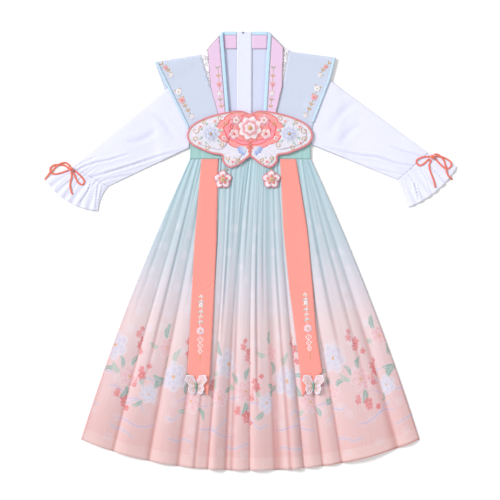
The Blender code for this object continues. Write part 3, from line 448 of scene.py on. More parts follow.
class Dye:
    """One cloth's material: a Principled shader and the nodes that vary it."""

    def __init__(self, name, **fixed):
        self.material = bpy.data.materials.new(name)
        self.material.use_nodes = True
        self.tree = self.material.node_tree
        self.shader = self.tree.nodes["Principled BSDF"]
        for socket, value in fixed.items():
            self.shader.inputs[socket.replace("_", " ").title()].default_value = value

    def node(self, kind, settings=None, inputs=None, output=0):
        """A node with its settings, then the values or links of its sockets."""
        made = self.tree.nodes.new(kind)
        for key, value in (settings or {}).items():
            if key == "stops":
                self.fill_ramp(made.color_ramp, value)
            else:
                setattr(made, key, value)
        for key, value in (inputs or {}).items():
            if isinstance(value, Signal):
                self.tree.links.new(value.socket, made.inputs[key])
            else:
                made.inputs[key].default_value = value
        return Signal(self, made.outputs[output])

    @staticmethod
    def fill_ramp(ramp, stops):
        while len(ramp.elements) < len(stops):
            ramp.elements.new(1.0)
        for element, (position, tone) in zip(ramp.elements, stops):
            element.position = position
            element.color = (*tone, 1.0)

    def split(self, vector):
        first = self.node("ShaderNodeSeparateXYZ", None, {0: vector})
        return [Signal(self, socket) for socket in first.socket.node.outputs]

    def place(self):
        """Object coordinates, in metres."""
        return self.node("ShaderNodeTexCoord", None, None, "Object")

    def attribute(self, name, output="Fac"):
        return self.node("ShaderNodeAttribute", {"attribute_name": name}, None, output)

    def blend(self, share, under, over, kind="MIX"):
        """One colour over another."""
        tones = {0: share}
        for key, tone in ((6, under), (7, over)):
            tones[key] = tone if isinstance(tone, Signal) else (*tone[:3], 1.0)
        return self.node("ShaderNodeMix", {"data_type": "RGBA", "blend_type": kind}, tones, 2)

    def noise(self, vector, scale, detail=2.0):
        return self.node("ShaderNodeTexNoise", None, {"Vector": vector, "Scale": scale, "Detail": detail})

    def vector(self, operation, first, second):
        return self.node("ShaderNodeVectorMath", {"operation": operation}, {0: first, 1: second})

    def streaks(self, vector, scale):
        """Noise with its own scale along each axis."""
        return self.noise(self.vector("MULTIPLY", vector, scale), 1.0)

    def feed(self, **signals):
        for socket, signal in signals.items():
            self.tree.links.new(signal.socket, self.shader.inputs[socket.replace("_", " ").title()])

    def bump(self, height, distance):
        inputs = {"Strength": 0.6, "Distance": distance, "Height": height}
        self.feed(normal=self.node("ShaderNodeBump", None, inputs))

    def weave(self, place, pitch):
        """Crossed threads, from -1 to 1."""
        x, y, _z = self.split(place)
        return (x * (math.tau / pitch)).sin() * (y * (math.tau / pitch)).sin()


def shaded(tone, share):
    return tuple(channel * share for channel in tone[:3])


def fabric(name, tone, pitch=0.0009):
    """Voile: a fine even weave with faint slubs, and painted shade in its creases and between its gathers."""
    dye = Dye(name, roughness=0.8, sheen_weight=0.35, sheen_roughness=0.4)
    place = dye.place()
    slubs = dye.streaks(place, (900.0, 60.0, 1.0)) + dye.streaks(place, (60.0, 900.0, 1.0))
    cloth = dye.blend(slubs.soft(0.9, 1.25) * 0.5, tone, shaded(tone, 0.93))
    # Painted shade: the Fold attribute darkens the voile towards grey blue in its creases and between its
    # gathers.
    dye.feed(base_color=dye.blend(dye.attribute("Fold") * 0.55, cloth, (0.68, 0.68, 0.84), "MULTIPLY"))
    dye.bump(dye.weave(place, pitch) * 0.3 + slubs * 0.4 + dye.noise(place, 50.0, 3.0), 0.0004)
    return dye


def satin(name, tone, roughness=0.4, stripe=1400.0):
    """Smooth cloth with long floats that run down it, and painted shade along the pressed fold at its edges.
    """
    dye = Dye(name, sheen_weight=0.25, sheen_roughness=0.3)
    place = dye.place()
    floats = dye.streaks(place, (stripe, stripe * 0.05, stripe))
    cloth = dye.blend(floats.soft(0.3, 0.7) * 0.45, tone, shaded(tone, 0.86))
    # Painted shade: the cloth darkens within 2.2 mm of its edge, where it turns under at the pressed fold.
    pressed = (2.2 - dye.attribute("Edge")).soft(0.0, 2.2)
    dye.feed(base_color=dye.blend(pressed * 0.22, cloth, shaded(tone, 0.72)),
             roughness=floats * 0.2 + roughness)
    dye.bump(floats * 0.6 + dye.noise(place, 40.0, 2.0) * 1.2, 0.0003)
    return dye


def sheer(name, tone, cover):
    """Organza: fine open threads over what lies under it."""
    dye = Dye(name, roughness=0.45, sheen_weight=0.4, sheen_roughness=0.3)
    place = dye.place()
    threads = dye.weave(place, 0.0011) * 0.5 + dye.streaks(place, (1500.0, 40.0, 1.0))
    cloth = dye.blend(threads.soft(0.1, 0.9) * 0.35, tone, tuple(c * 0.5 + 0.5 for c in tone[:3]))
    dye.feed(base_color=cloth, alpha=threads * 0.06 + cover)
    dye.bump(threads * 0.4 + dye.noise(place, 30.0, 2.0), 0.0003)
    return dye


def threadwork(name, roughness=0.42):
    """Stitches in the colour that each shape carries, with threads along it."""
    dye = Dye(name, sheen_weight=0.3)
    across, _along, _z = dye.split(dye.attribute("Run", "Vector"))
    threads = (across * (math.tau / 0.00065)).sin()
    tint = dye.attribute("Tint", "Color")
    dye.feed(base_color=dye.blend(threads.soft(-1.0, 1.0) * 0.16, tint, (0.05, 0.02, 0.04)),
             roughness=threads * 0.08 + roughness)
    dye.bump(threads, 0.00016)
    return dye


def plain_thread(name, tone, roughness=0.4, metallic=0.0):
    """Thread or bead of one colour with a fine uneven sheen."""
    dye = Dye(name, metallic=metallic, sheen_weight=0.2)
    uneven = dye.noise(dye.place(), 700.0, 2.0)
    dye.feed(base_color=dye.blend(uneven.soft(0.3, 0.7), tone, shaded(tone, 0.78)),
             roughness=uneven * 0.2 + roughness)
    return dye


def cord_dye(tone):
    """Braided flat cord."""
    dye = Dye("Drawstring cord", roughness=0.6, sheen_weight=0.3)
    x, y, _z = dye.split(dye.place())
    braid = ((x + y) * 4200.0).sin() * ((x - y) * 4200.0).sin()
    dye.feed(base_color=dye.blend(braid.soft(-1.0, 1.0), tone, shaded(tone, 0.78)))
    dye.bump(braid, 0.0002)
    return dye


def lace_dye(tone):
    """Lace: a fine net with denser sprays, and painted shade in the net's holes."""
    dye = Dye("White lace", roughness=0.8, sheen_weight=0.3)
    place = dye.place()
    settings = {"feature": "DISTANCE_TO_EDGE"}
    net = dye.node("ShaderNodeTexVoronoi", settings, {"Vector": place, "Scale": 300.0}, "Distance")
    spray = dye.noise(place, 120.0, 2.0).soft(0.46, 0.54)
    cover = ((0.2 - net).soft(0.0, 0.10) + spray).math("MINIMUM", 1.0)
    # Painted shade: the holes of the net are half covered in dark grey.
    dye.feed(base_color=dye.blend(cover, (0.40, 0.38, 0.42), tone), alpha=cover * 0.45 + 0.5)
    dye.bump(cover, 0.0004)
    return dye


def polar(dye, x, y):
    return (x * x + y * y) ** 0.5, y.math("ARCTAN2", x)


def lobes(angle, petals, turn=0.0, sharp=0.55):
    """1 along the middle of each petal and 0 between two."""
    return (angle * (petals / 2.0) + turn).cos().size() ** sharp


def ornament_dye(tone):
    """Dense needlework: a satin-stitched border, pale fields, and scalloped panels in the middle."""
    dye = Dye("Ornament embroidery", roughness=0.5, sheen_weight=0.3)
    place = dye.place()
    x, y, _z = dye.split(place)
    x = (x * (1.0 / MM) - ORNAMENT_X) * 0.58
    y = y * (1.0 / MM) - (ORNAMENT_Y + 24.0)
    reach, angle = polar(dye, x, y)
    rows = dye.streaks(place, (1900.0, 120.0, 1.0))
    painted = dye.blend(rows.soft(0.35, 0.65), tone["field"], shaded(tone["field"], 0.86))
    for radius, inner in ((43.0, "salmon"), (33.0, "ground"), (25.0, "salmon")):
        within = lobes(angle, 9, 0.5 + radius, 0.4) * 4.6 + radius - reach
        painted = dye.blend(within.soft(0.0, 0.5), painted, tone["red"])
        painted = dye.blend(within.soft(1.3, 1.8), painted, tone[inner])
    edge = dye.attribute("Edge")
    painted = dye.blend((BORDER + 1.0 - edge).soft(0.0, 0.4), painted, tone["white"])
    painted = dye.blend((BORDER - edge).soft(0.0, 0.4), painted, tone["ground"])
    dye.feed(base_color=dye.blend(rows.soft(0.4, 0.6) * 0.10, painted, (0.2, 0.05, 0.1)))
    dye.bump(rows - edge.soft(BORDER - 0.2, BORDER + 0.4) * 0.6, 0.0004)
    return dye


def nearest(dye, vector, motifs):
    """Coordinates inside the nearest of a few motifs, and its kind. Each has a radius of 1 there."""
    local = (9.0, 9.0, 9.0)
    kind = 0.0
    best = 9.0
    for motif in motifs:
        inputs = {
            "Vector": vector,
            "Location": (motif.u, motif.v, 0.0),
            "Rotation": (0.0, 0.0, motif.turn),
            "Scale": (motif.size, motif.size, motif.size),
        }
        own = dye.node("ShaderNodeMapping", {"vector_type": "TEXTURE"}, inputs)
        reach = dye.node("ShaderNodeVectorMath", {"operation": "LENGTH"}, {0: own}, "Value")
        closer = reach.math("LESS_THAN", best)
        local = dye.node("ShaderNodeMix", {"data_type": "VECTOR"}, {0: closer, 4: local, 5: own}, 1)
        kind = dye.node("ShaderNodeMix", {"data_type": "FLOAT"}, {0: closer, 2: kind, 3: motif.kind}, 0)
        best = reach.math("MINIMUM", best)
    x, y, _z = dye.split(local)
    return x, y, kind


def paint_peony(dye, under, x, y, kind, wash):
    """A full flower in rings of petals, each pale at its rim and deeper inside."""
    reach, angle = polar(dye, x, y)
    pale = dye.blend(kind, dye_code("F4F1FB"), dye_code("FDE9EC"))
    deep = dye.blend(kind, dye_code("D9D5EE"), dye_code("F6B3BF"))
    painted = under
    for ring in PEONY_RINGS:
        within = lobes(angle, ring.petals, ring.turn) * ring.wave + ring.reach - reach
        petal = dye.blend(within.soft(0.02, 0.5), pale, deep)
        painted = dye.blend(within.soft(0.0, 0.12) * wash, painted, petal)
    return dye.blend((0.15 - reach).soft(0.0, 0.08) * 0.8, painted, dye_code("F2BD86"))


def paint_blossom(dye, under, x, y, kind, wash):
    """A small flower of five petals."""
    reach, angle = polar(dye, x, y)
    within = lobes(angle, 5) * 0.46 + 0.5 - reach
    tone = dye.blend(kind, dye_code("F28790"), dye_code("F9B0B3"))
    petal = dye.blend(within.soft(0.1, 0.8), tone, dye_code("EA6874"))
    painted = dye.blend(within.soft(0.0, 0.12) * wash, under, petal)
    return dye.blend((0.2 - reach).soft(0.0, 0.1) * 0.7, painted, dye_code("FBDFC0"))


def paint_leaf(dye, under, x, y, kind, wash):
    """A curled, pointed leaf with a pale rib."""
    rib = (y - x * x * 0.35 + 0.12).size()
    within = (1.0 - x * x) * 0.34 - rib
    tone = dye.blend(kind, dye_code("8FC0B8"), dye_code("B4D2C4"))
    leaf = dye.blend((0.05 - rib).soft(0.0, 0.05), tone, dye_code("DDEBE2"))
    return dye.blend(within.soft(0.0, 0.09) * wash, under, leaf)


def paint_ribbons(dye, under, u, v):
    """Thin waving lines of lavender and blue through the lower border."""
    painted = under
    for i, (height, sway, length, phase) in enumerate(RIBBON_LINES):
        wave = (u * (1.0 / length) + phase).sin() * sway
        curl = (u * (3.7 / length) + phase * 2.0).sin() * (sway * 0.4)
        distance = (v - (wave + curl) - height).size()
        present = (u * (1.3 / length) + phase * 3.0).sin().soft(-0.2, 0.6)
        tone = dye_code("CBC5EE") if i % 2 else dye_code("BDD3F1")
        painted = dye.blend((10.0 - distance).soft(0.0, 10.0) * present * 0.3, painted, dye_code("E9E1F4"))
        painted = dye.blend((1.8 - distance).soft(0.0, 1.2) * present * 0.75, painted, tone)
    return painted


def paint_daisies(dye, under, vector, v):
    """Pale daisies scattered over the whole skirt."""
    inputs = {"Vector": vector, "Scale": 1.0 / 70.0, "Randomness": 0.8}
    settings = {"voronoi_dimensions": "2D"}
    centre = dye.node("ShaderNodeTexVoronoi", settings, inputs, "Position")
    x, y, _z = dye.split(dye.vector("SUBTRACT", vector, centre))
    reach, angle = polar(dye, x, y)
    within = lobes(angle, 8, 0.0, 0.8) * 9.5 + 4.0 - reach
    share = (within.soft(0.0, 1.8) - (3.4 - reach).soft(0.0, 1.0) * 0.5) * v.soft(60.0, 200.0)
    return dye.blend(share * (0.5 - v.soft(420.0, 640.0) * 0.22), under, dye_code("F6F1FC"))


def skirt_dye(name, printed, cover, depth, richness):
    """Chiffon that runs from aqua to peach, with its print, and painted shade in the pleats, the gathers and
    the crinkles.
    """
    dye = Dye(name, roughness=0.62, sheen_weight=0.3, sheen_roughness=0.35)
    vector = dye.attribute("Print", "Vector")
    u, v, _z = dye.split(vector)
    wander = dye.noise(vector, 0.01, 2.0) * 0.08 - 0.04
    stops = [(position, tuple(c ** richness for c in dye_code(code))) for position, code in SKIRT_TONES]
    tone = dye.node("ShaderNodeValToRGB", {"stops": stops}, {0: v * (1.0 / SKIRT_LENGTH) + wander})
    if printed:
        flow = dye.noise(vector, 0.03, 2.0) * 9.0 + dye.noise(vector, 0.14, 2.0) * 5.0 - 7.0
        along = (u + flow + PRINT_SHIFT).math("FLOORED_MODULO", PRINT_REPEAT)
        drawn = dye.node("ShaderNodeCombineXYZ", None, {0: along, 1: v + flow})
        wash = dye.noise(vector, 0.06, 3.0).soft(0.2, 0.7) * 0.4 + 0.46
        tone = paint_daisies(dye, tone, vector, v)
        tone = paint_ribbons(dye, tone, u, v)
        for motifs, paint in ((LEAVES, paint_leaf), (BLOSSOMS, paint_blossom), (PEONIES, paint_peony)):
            x, y, kind = nearest(dye, drawn, motifs)
            tone = paint(dye, tone, x, y, kind, wash)
        piping = (v - (SKIRT_LENGTH - 3.0)).soft(0.0, 0.8) * u.soft(250.0, 330.0)
        tone = dye.blend(piping * 0.8, tone, dye_code("F08A7C"))
    crinkle = dye.streaks(vector, (0.42, 0.012, 1.0))
    silver = dye.streaks(vector, (1.0, 0.03, 1.0)).soft(0.66, 0.71) * dye.noise(vector, 0.02).soft(0.45, 0.6)
    tone = dye.blend(silver * v.soft(260.0, 560.0) * 0.7, tone, (0.95, 0.93, 0.96))
    hem = (v - (SKIRT_LENGTH - 31.0)).soft(0.0, 1.5)
    tone = dye.blend(hem * 0.2, tone, (0.97, 0.92, 0.90))
    # Painted shade: the Fold attribute and the fine crinkles darken the tone towards a shade colour that runs
    # from aqua at the waist to peach at the hem.
    fold = dye.attribute("Fold")
    crinkle_shade = crinkle.soft(0.35, 0.65) * 0.07
    shade = dye.blend(v.soft(250.0, 520.0), dye_code("8FB4BC"), dye_code("CE9791"))
    dye.feed(base_color=dye.blend(fold * depth + crinkle_shade, tone, shade, "MULTIPLY"), alpha=fold * 0.1 + cover)
    dye.bump(crinkle + dye.streaks(vector, (0.05, 0.006, 1.0)) * 2.0, 0.0007)
    return dye


def skirt_half(down):
    """Half width of the flat skirt, from 0 at the waist to 1 at the hem."""
    return WAIST_HALF + (HEM_HALF - WAIST_HALF) * down + SIDE_BOW * down * (1.0 - down)


def ease(value, start, end):
    """0 before start, 1 past end and a smooth step between, for numbers and arrays."""
    share = np.clip((value - start) / (end - start), 0.0, 1.0)
    return share * share * (3.0 - 2.0 * share)


def smooth_curve(points, step):
    """Points about one step apart on a Catmull-Rom curve through a few chosen ones."""
    chosen = [points[0], *points, points[-1]]
    curve = []
    for p0, p1, p2, p3 in zip(*(np.array(chosen[i:len(chosen) - 3 + i], float) for i in range(4))):
        count = max(int(np.linalg.norm(p2 - p1) / step), 1)
        for t in np.arange(count) / count:
            place = 2.0 * p1 + (p2 - p0) * t + (2.0 * p0 - 5.0 * p1 + 4.0 * p2 - p3) * t * t
            curve.append(0.5 * (place + (3.0 * p1 - p0 - 3.0 * p2 + p3) * t ** 3))
    curve.append(np.array(points[-1], float))
    return np.array(curve)


def crease_relief(x, y, creases):
    """Relief of soft troughs and their banks along given lines, tapered at both ends."""
    relief = np.zeros_like(x)
    for crease in creases:
        route = smooth_curve(crease.points, CREASE_STEP)
        apart = np.hypot(x[..., None] - route[:, 0], y[..., None] - route[:, 1])
        along = apart.argmin(axis=-1) / (len(route) - 1)
        strength = crease.depth * np.sin(math.pi * along) ** 0.5
        distance = apart.min(axis=-1) / crease.width
        relief += strength * (0.4 * np.exp(-((distance - 2.0) ** 2)) - np.exp(-(distance ** 2)))
    return relief


class Tops:
    """The tops of the pieces made so far, read by looking straight down."""

    def __init__(self):
        self.trees = {}

    def add(self, obj):
        depsgraph = bpy.context.evaluated_depsgraph_get()
        depsgraph.update()
        mesh = bpy.data.meshes.new_from_object(obj.evaluated_get(depsgraph))
        points = [vertex.co / MM for vertex in mesh.vertices]
        polygons = [polygon.vertices[:] for polygon in mesh.polygons]
        corners = np.array([point[:2] for point in points])
        self.trees[obj.name] = (corners.min(0), corners.max(0), BVHTree.FromPolygons(points, polygons))
        bpy.data.meshes.remove(mesh)

    def at(self, x, y, only=None):
        """Height in mm of the highest piece at one place, or 0 on the bare surface."""
        highest = 0.0
        for name in self.trees if only is None else only:
            low, high, tree = self.trees[name]
            if low[0] <= x <= high[0] and low[1] <= y <= high[1]:
                place = tree.ray_cast(Vector((x, y, SKY)), DOWN)[0]
                if place is not None:
                    highest = max(highest, place.z)
        return highest


tops = Tops()


def link(name, mesh, dye):
    """An object of the scene that rides on the dress, with its finish."""
    mesh.materials.append(dye.material)
    obj = bpy.data.objects.new(name, mesh)
    bpy.context.scene.collection.objects.link(obj)
    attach(obj, "root")
    return obj


def make_mesh(name, points, faces):
    mesh = bpy.data.meshes.new(name)
    mesh.from_pydata([(x * MM, y * MM, z * MM) for x, y, z in points], [], faces)
    mesh.update()
    mesh.shade_smooth()
    return mesh


def add_attribute(mesh, name, values, kind="FLOAT", domain="POINT", key="value"):
    """Stores one value, vector or colour for each point or corner."""
    attribute = mesh.attributes.new(name, kind, domain)
    attribute.data.foreach_set(key, np.asarray(values, np.float32).ravel())


def add_wall(obj, wall):
    """Gives a sheet its thickness, below its upper face."""
    modifier = obj.modifiers.new("Wall", "SOLIDIFY")
    modifier.thickness = wall
    modifier.offset = -1.0
    modifier.use_even_offset = True
    modifier.thickness_clamp = 1.0


def recolour(node, dye):
    """Gives a solid that stays its finish."""
    NODES[node].data.materials.clear()
    NODES[node].data.materials.append(dye.material)


def sheet_area(mesh):
    return sum(polygon.area for polygon in mesh.polygons)


def top_outline(node):
    """The outline of a solid's upper face in mm, in order round it."""
    shape = bmesh.new()
    shape.from_mesh(NODES[node].data)
    bmesh.ops.remove_doubles(shape, verts=shape.verts, dist=WELD)
    shape.verts.index_update()
    upper = {face for face in shape.faces if face.normal.z > UPWARD}
    ahead = {}
    for face in upper:
        for loop in face.loops:
            if sum(neighbour in upper for neighbour in loop.edge.link_faces) == 1:
                ahead[loop.vert.index] = loop.link_loop_next.vert
    outline = [next(iter(ahead.values()))]
    while ahead[outline[-1].index] is not outline[0]:
        outline.append(ahead[outline[-1].index])
    places = np.array([vertex.co[:2] for vertex in outline]) / MM
    shape.free()
    return places


def densified(outline, spacing):
    """A closed outline with points no further apart than the spacing."""
    places = []
    for start, end in zip(outline, np.roll(outline, -1, axis=0)):
        count = max(int(math.ceil(np.linalg.norm(end - start) / spacing)), 1)
        places += [start + (end - start) * i / count for i in range(count)]
    return np.array(places)


def inside(places, start):
    """Which places lie inside an outline, and how far each is from its edge."""
    way = np.roll(start, -1, axis=0) - start
    x, y = places[:, 0:1] - start[:, 0], places[:, 1:2] - start[:, 1]
    spans = (y < 0.0) != (y < way[:, 1])
    crossing = y * way[:, 0] / np.where(way[:, 1] == 0.0, 1.0, way[:, 1])
    within = (spans & (x < crossing)).sum(axis=1) % 2 == 1
    share = np.clip((x * way[:, 0] + y * way[:, 1]) / np.maximum((way ** 2).sum(1), WELD), 0.0, 1.0)
    return within, np.hypot(x - share * way[:, 0], y - share * way[:, 1]).min(axis=1)


def filled(outline, spacing):
    """Places and triangles that fill an outline evenly, and each place's distance from its edge."""
    rim = densified(outline, spacing)
    low, high = rim.min(0), rim.max(0)
    rows = np.arange(low[1], high[1], spacing * 0.866)
    columns = np.arange(low[0], high[0], spacing)
    lattice = np.array([(x + i % 2 * spacing / 2.0, y) for i, y in enumerate(rows) for x in columns])
    within, apart = inside(lattice, rim)
    lattice = lattice[within & (apart > spacing * 0.45)]
    places = [Vector(place) for place in np.vstack([rim, lattice])]
    made = geometry.delaunay_2d_cdt(places, [], [list(range(len(rim)))], 1, 1e-4)
    points = np.array([point[:] for point in made[0]])
    corners = points[np.array(made[2])]
    first, second = corners[:, 1] - corners[:, 0], corners[:, 2] - corners[:, 0]
    leftward = first[:, 0] * second[:, 1] - first[:, 1] * second[:, 0] > 0.0
    triangles = [face if left else face[::-1] for face, left in zip(made[2], leftward)]
    return points, triangles, inside(points, rim)[1]


def node_heights(node, points, blur):
    """Height of a solid's upper face at each place, averaged over a small ring."""
    mesh = NODES[node].data
    corners = [vertex.co / MM for vertex in mesh.vertices]
    tree = BVHTree.FromPolygons(corners, [polygon.vertices[:] for polygon in mesh.polygons])
    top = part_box(node)[1].z / MM
    offsets = [(0.0, 0.0)] + [(blur * math.cos(a), blur * math.sin(a)) for a in np.arange(0, math.tau, 0.785)]
    heights = []
    for x, y in points:
        hits = [tree.ray_cast(Vector((x + dx, y + dy, SKY)), DOWN)[0] for dx, dy in offsets]
        found = [hit.z for hit in hits if hit is not None]
        heights.append(np.mean(found) if found else tree.find_nearest(Vector((x, y, top)))[0].z)
    return np.array(heights)


def lay_cloth(node, dye, spacing, lay=None, relief=None, wall=None, blur=None):
    """A thin shell in the form of one solid. lay tells how a sheet is held, what it lies on and its trims."""
    sizes = bpy.context.scene.dress_sizes
    outline = top_outline(node)
    points, triangles, apart = filled(outline, spacing)
    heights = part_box(node)[1].z / MM if blur is None else node_heights(node, points, blur)
    creases = relief(*points.T, apart) if relief else 0.0 * apart
    upper = np.column_stack([points, heights - SKIN + creases * sizes.crease_share])
    mesh = make_mesh(node + "_cloth", upper, triangles)
    add_attribute(mesh, "Edge", apart)
    obj = link(node + "_cloth", mesh, dye)
    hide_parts(node)
    area = sheet_area(mesh)
    add_wall(obj, wall or sizes.wall)
    if lay:
        flat_size(outline, area)
    tops.add(obj)
    return obj


def flat_size(outline, area):
    """Width and length of a cut in metres: its smallest box at any turn, or a thin strip's own sides."""
    edge = outline * MM
    boxes = []
    for turn in np.radians(np.arange(-44.0, 45.0)):
        way = np.array([[math.cos(turn), -math.sin(turn)], [math.sin(turn), math.cos(turn)]])
        boxes.append(np.ptp(edge @ way, axis=0))
    width, length = min(boxes, key=np.prod)
    if area > STRIP_SHARE * width * length:
        return (width, max(length, area / width) * FLAT_MARGIN)
    half_round = np.linalg.norm(edge - np.roll(edge, -1, axis=0), axis=1).sum() / 2.0
    long_side = (half_round + math.sqrt(max(half_round ** 2 - 4.0 * area, 0.0))) / 2.0
    return (area / long_side * FLAT_MARGIN, long_side)


def soft_waves(scale, depth):
    """Low, uneven waves, as cloth has that was once folded."""

    def relief(x, y, apart):
        wave = np.sin(x / scale + 0.8 * np.sin(y / (1.7 * scale)))
        wave += 0.7 * np.sin(y / (1.3 * scale) + 1.1 * np.sin(x / (2.1 * scale)) + 1.0)
        return depth * (wave * 0.3 - 0.5) * ease(apart, 0.0, 8.0)

    return relief


def build_stage():
    """A pale floor, sun and sky, and a camera straight above."""
    mesh = bpy.data.meshes.new("floor")
    corners = [
        (x * FLOOR_HALF, y * FLOOR_HALF, FLOOR_LEVEL) for x, y in ((-1, -1), (1, -1), (1, 1), (-1, 1))
    ]
    mesh.from_pydata(corners, [], [(0, 1, 2, 3)])
    floor = bpy.data.objects.new("floor", mesh)
    paper = Dye("Floor paper", roughness=0.9)
    grain = paper.noise(paper.place(), 3.0, 1.0)
    paper.feed(base_color=paper.blend(grain, (0.94, 0.94, 0.94), (0.97, 0.97, 0.97)))
    mesh.materials.append(paper.material)
    bpy.context.scene.collection.objects.link(floor)
    add_light("key_light", "SUN", (-1.5, 0.9, 1.35), 2.5).angle = 0.3
    add_light("fill_light", "AREA", (1.8, -0.8, 2.4), 9.0).size = 2.4
    world = bpy.data.worlds.new("Studio")
    world.use_nodes = True
    world.node_tree.nodes["Background"].inputs["Color"].default_value = (1.0, 1.0, 1.0, 1.0)
    world.node_tree.nodes["Background"].inputs["Strength"].default_value = 0.6
    bpy.context.scene.world = world
    bpy.context.scene.view_settings.view_transform = "Standard"
    camera_data = bpy.data.cameras.new("camera")
    camera_data.lens = CAMERA_LENS
    camera_data.sensor_width = CAMERA_SENSOR
    camera = bpy.data.objects.new("camera", camera_data)
    camera.location = CAMERA_PLACE
    bpy.context.scene.collection.objects.link(camera)
    bpy.context.scene.camera = camera


def add_light(name, kind, place, power):
    lamp = bpy.data.lights.new(name, kind)
    lamp.energy = power
    obj = bpy.data.objects.new(name, lamp)
    obj.location = place
    obj.rotation_euler = (-Vector(place)).to_track_quat("-Z", "Y").to_euler()
    bpy.context.scene.collection.objects.link(obj)
    return lamp


def sideways(route):
    """The level direction across a route at each of its points."""
    ahead = np.vstack([route[1:], route[-1:]]) - np.vstack([route[:1], route[:-1]])
    across = np.column_stack([-ahead[:, 1], ahead[:, 0]])
    return across / np.maximum(np.linalg.norm(across, axis=1), WELD)[:, None]


def ribbon_rings(route, width, thick):
    """Rings of a flat cord with rounded edges along a route in mm."""
    places = []
    for place, across in zip(route, sideways(route)):
        for angle in np.arange(RIBBON_SIDES) * math.tau / RIBBON_SIDES:
            flat = math.copysign(abs(math.cos(angle)) ** 0.6, math.cos(angle)) * width / 2.0
            tall = math.copysign(abs(math.sin(angle)) ** 0.8, math.sin(angle)) * thick / 2.0
            places.append(place + np.array([*(across * flat), tall]))
    return places


def tube_faces(rings, sides, closed_ends=True):
    faces = []
    for ring in range(rings - 1):
        for side in range(sides):
            other = (side + 1) % sides
            first, second = ring * sides, (ring + 1) * sides
            faces.append((first + side, second + side, second + other, first + other))
    if closed_ends:
        faces.append(tuple(range(sides)))
        faces.append(tuple((rings - 1) * sides + side for side in reversed(range(sides))))
    return faces


def outward(mesh):
    """Turns a closed shell's faces outward."""
    shape = bmesh.new()
    shape.from_mesh(mesh)
    bmesh.ops.recalc_face_normals(shape, faces=shape.faces)
    shape.to_mesh(mesh)
    shape.free()


def cord_route(strand):
    """A strand's route in mm, lifted over all that it crosses."""
    flat = smooth_curve(strand.points, CORD_STEP)
    shares = (-0.5, -0.25, 0.0, 0.25, 0.5)
    below = [
        max(tops.at(*(place + across * CORD_WIDTH * share)) for share in shares)
        for place, across in zip(flat, sideways(flat))
    ]
    lifted = [max(below[max(i - 2, 0):i + 3]) for i in range(len(below))]
    eased = [np.mean(lifted[max(i - 1, 0):i + 2]) for i in range(len(lifted))]
    return np.column_stack([flat, np.maximum(eased, below) + GAP + CORD_THICK / 2.0])


def build_bows():
    """Both drawstring bows: knots, loops and tails of flat cord."""
    dye = cord_dye(bpy.context.scene.dress_colours.cord)
    for side in SIDES:
        build_knot(f"bow_knot_{side}", dye)
    for strand in STRANDS:
        route = cord_route(strand)
        mesh = make_mesh(strand.name + "_cord", ribbon_rings(route, CORD_WIDTH, CORD_THICK),
                         tube_faces(len(route), RIBBON_SIDES))
        outward(mesh)
        obj = link(mesh.name, mesh, dye)
        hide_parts(strand.name)
        tops.add(obj)


def build_knot(node, dye):
    """A knot of flat cord: a rounded lump with the turns of the cord across it."""
    low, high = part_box(node)
    centre = np.array(low + high) / 2.0 / MM
    half = np.array(high - low) / 2.0 / MM
    rows, columns = 20, 36
    points = []
    for tilt in np.arange(1, rows) * math.pi / rows:
        for turn in np.arange(columns) * math.tau / columns:
            groove = 1.0 - 0.12 * abs(math.sin(2.0 * turn + 3.0 * math.cos(tilt))) ** 4
            way = (math.sin(tilt) * math.cos(turn), math.sin(tilt) * math.sin(turn), math.cos(tilt))
            points.append(centre + half * way * groove)
    mesh = make_mesh(node + "_cord", points, tube_faces(rows - 1, columns))
    outward(mesh)
    obj = link(mesh.name, mesh, dye)
    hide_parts(node)
    tops.add(obj)


def tube_ring(base, x, y, lift, share):
    """One ring: the front from the upper to the lower edge, and the back the other way."""
    roundness = (1.0 - np.abs(2.0 * share - 1.0) ** EDGE_ROUND_POWER) ** 0.5
    middle = base + TUBE_HALF
    front = middle + np.maximum(TUBE_HALF + lift, GAP) * roundness
    back = middle - TUBE_HALF * roundness
    return [*zip(x, y, front), *zip(x[-2:0:-1], y[-2:0:-1], back[-2:0:-1])]


def press_tube(node, rings, fold_shades, dye, around, length):
    """A tube of cloth pressed flat, open at both ends. around and length are its cut, in mm."""
    sides = len(rings[0])
    mesh = make_mesh(node + "_cloth", [place for ring in rings for place in ring],
                     tube_faces(len(rings), sides, closed_ends=False))
    if mesh.polygons[sides // 4].normal.z < 0.0:
        mesh.flip_normals()
    # Painted shade of the creases and gathers, kept on the tube's front only.
    add_attribute(mesh, "Fold", [value for fold in fold_shades for value in (*fold, *fold[-2:0:-1] * 0.0)])
    obj = link(mesh.name, mesh, dye)
    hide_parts(node)
    area = sheet_area(mesh)
    max(length * MM, area / (around * MM))
    add_wall(obj, TUBE_WALL * MM)
    tops.add(obj)


def span(first, second):
    return float(np.linalg.norm(np.array(first) - np.array(second)))


def drawn_gathers(share):
    """Ridges across a tube where its drawstring pulls it together, from 0 to 1."""
    phase = SLEEVE_GATHERS * math.pi * share + 1.5 * np.sin(5.0 * share) + 0.7 * np.sin(17.0 * share)
    return np.sin(phase) ** 2


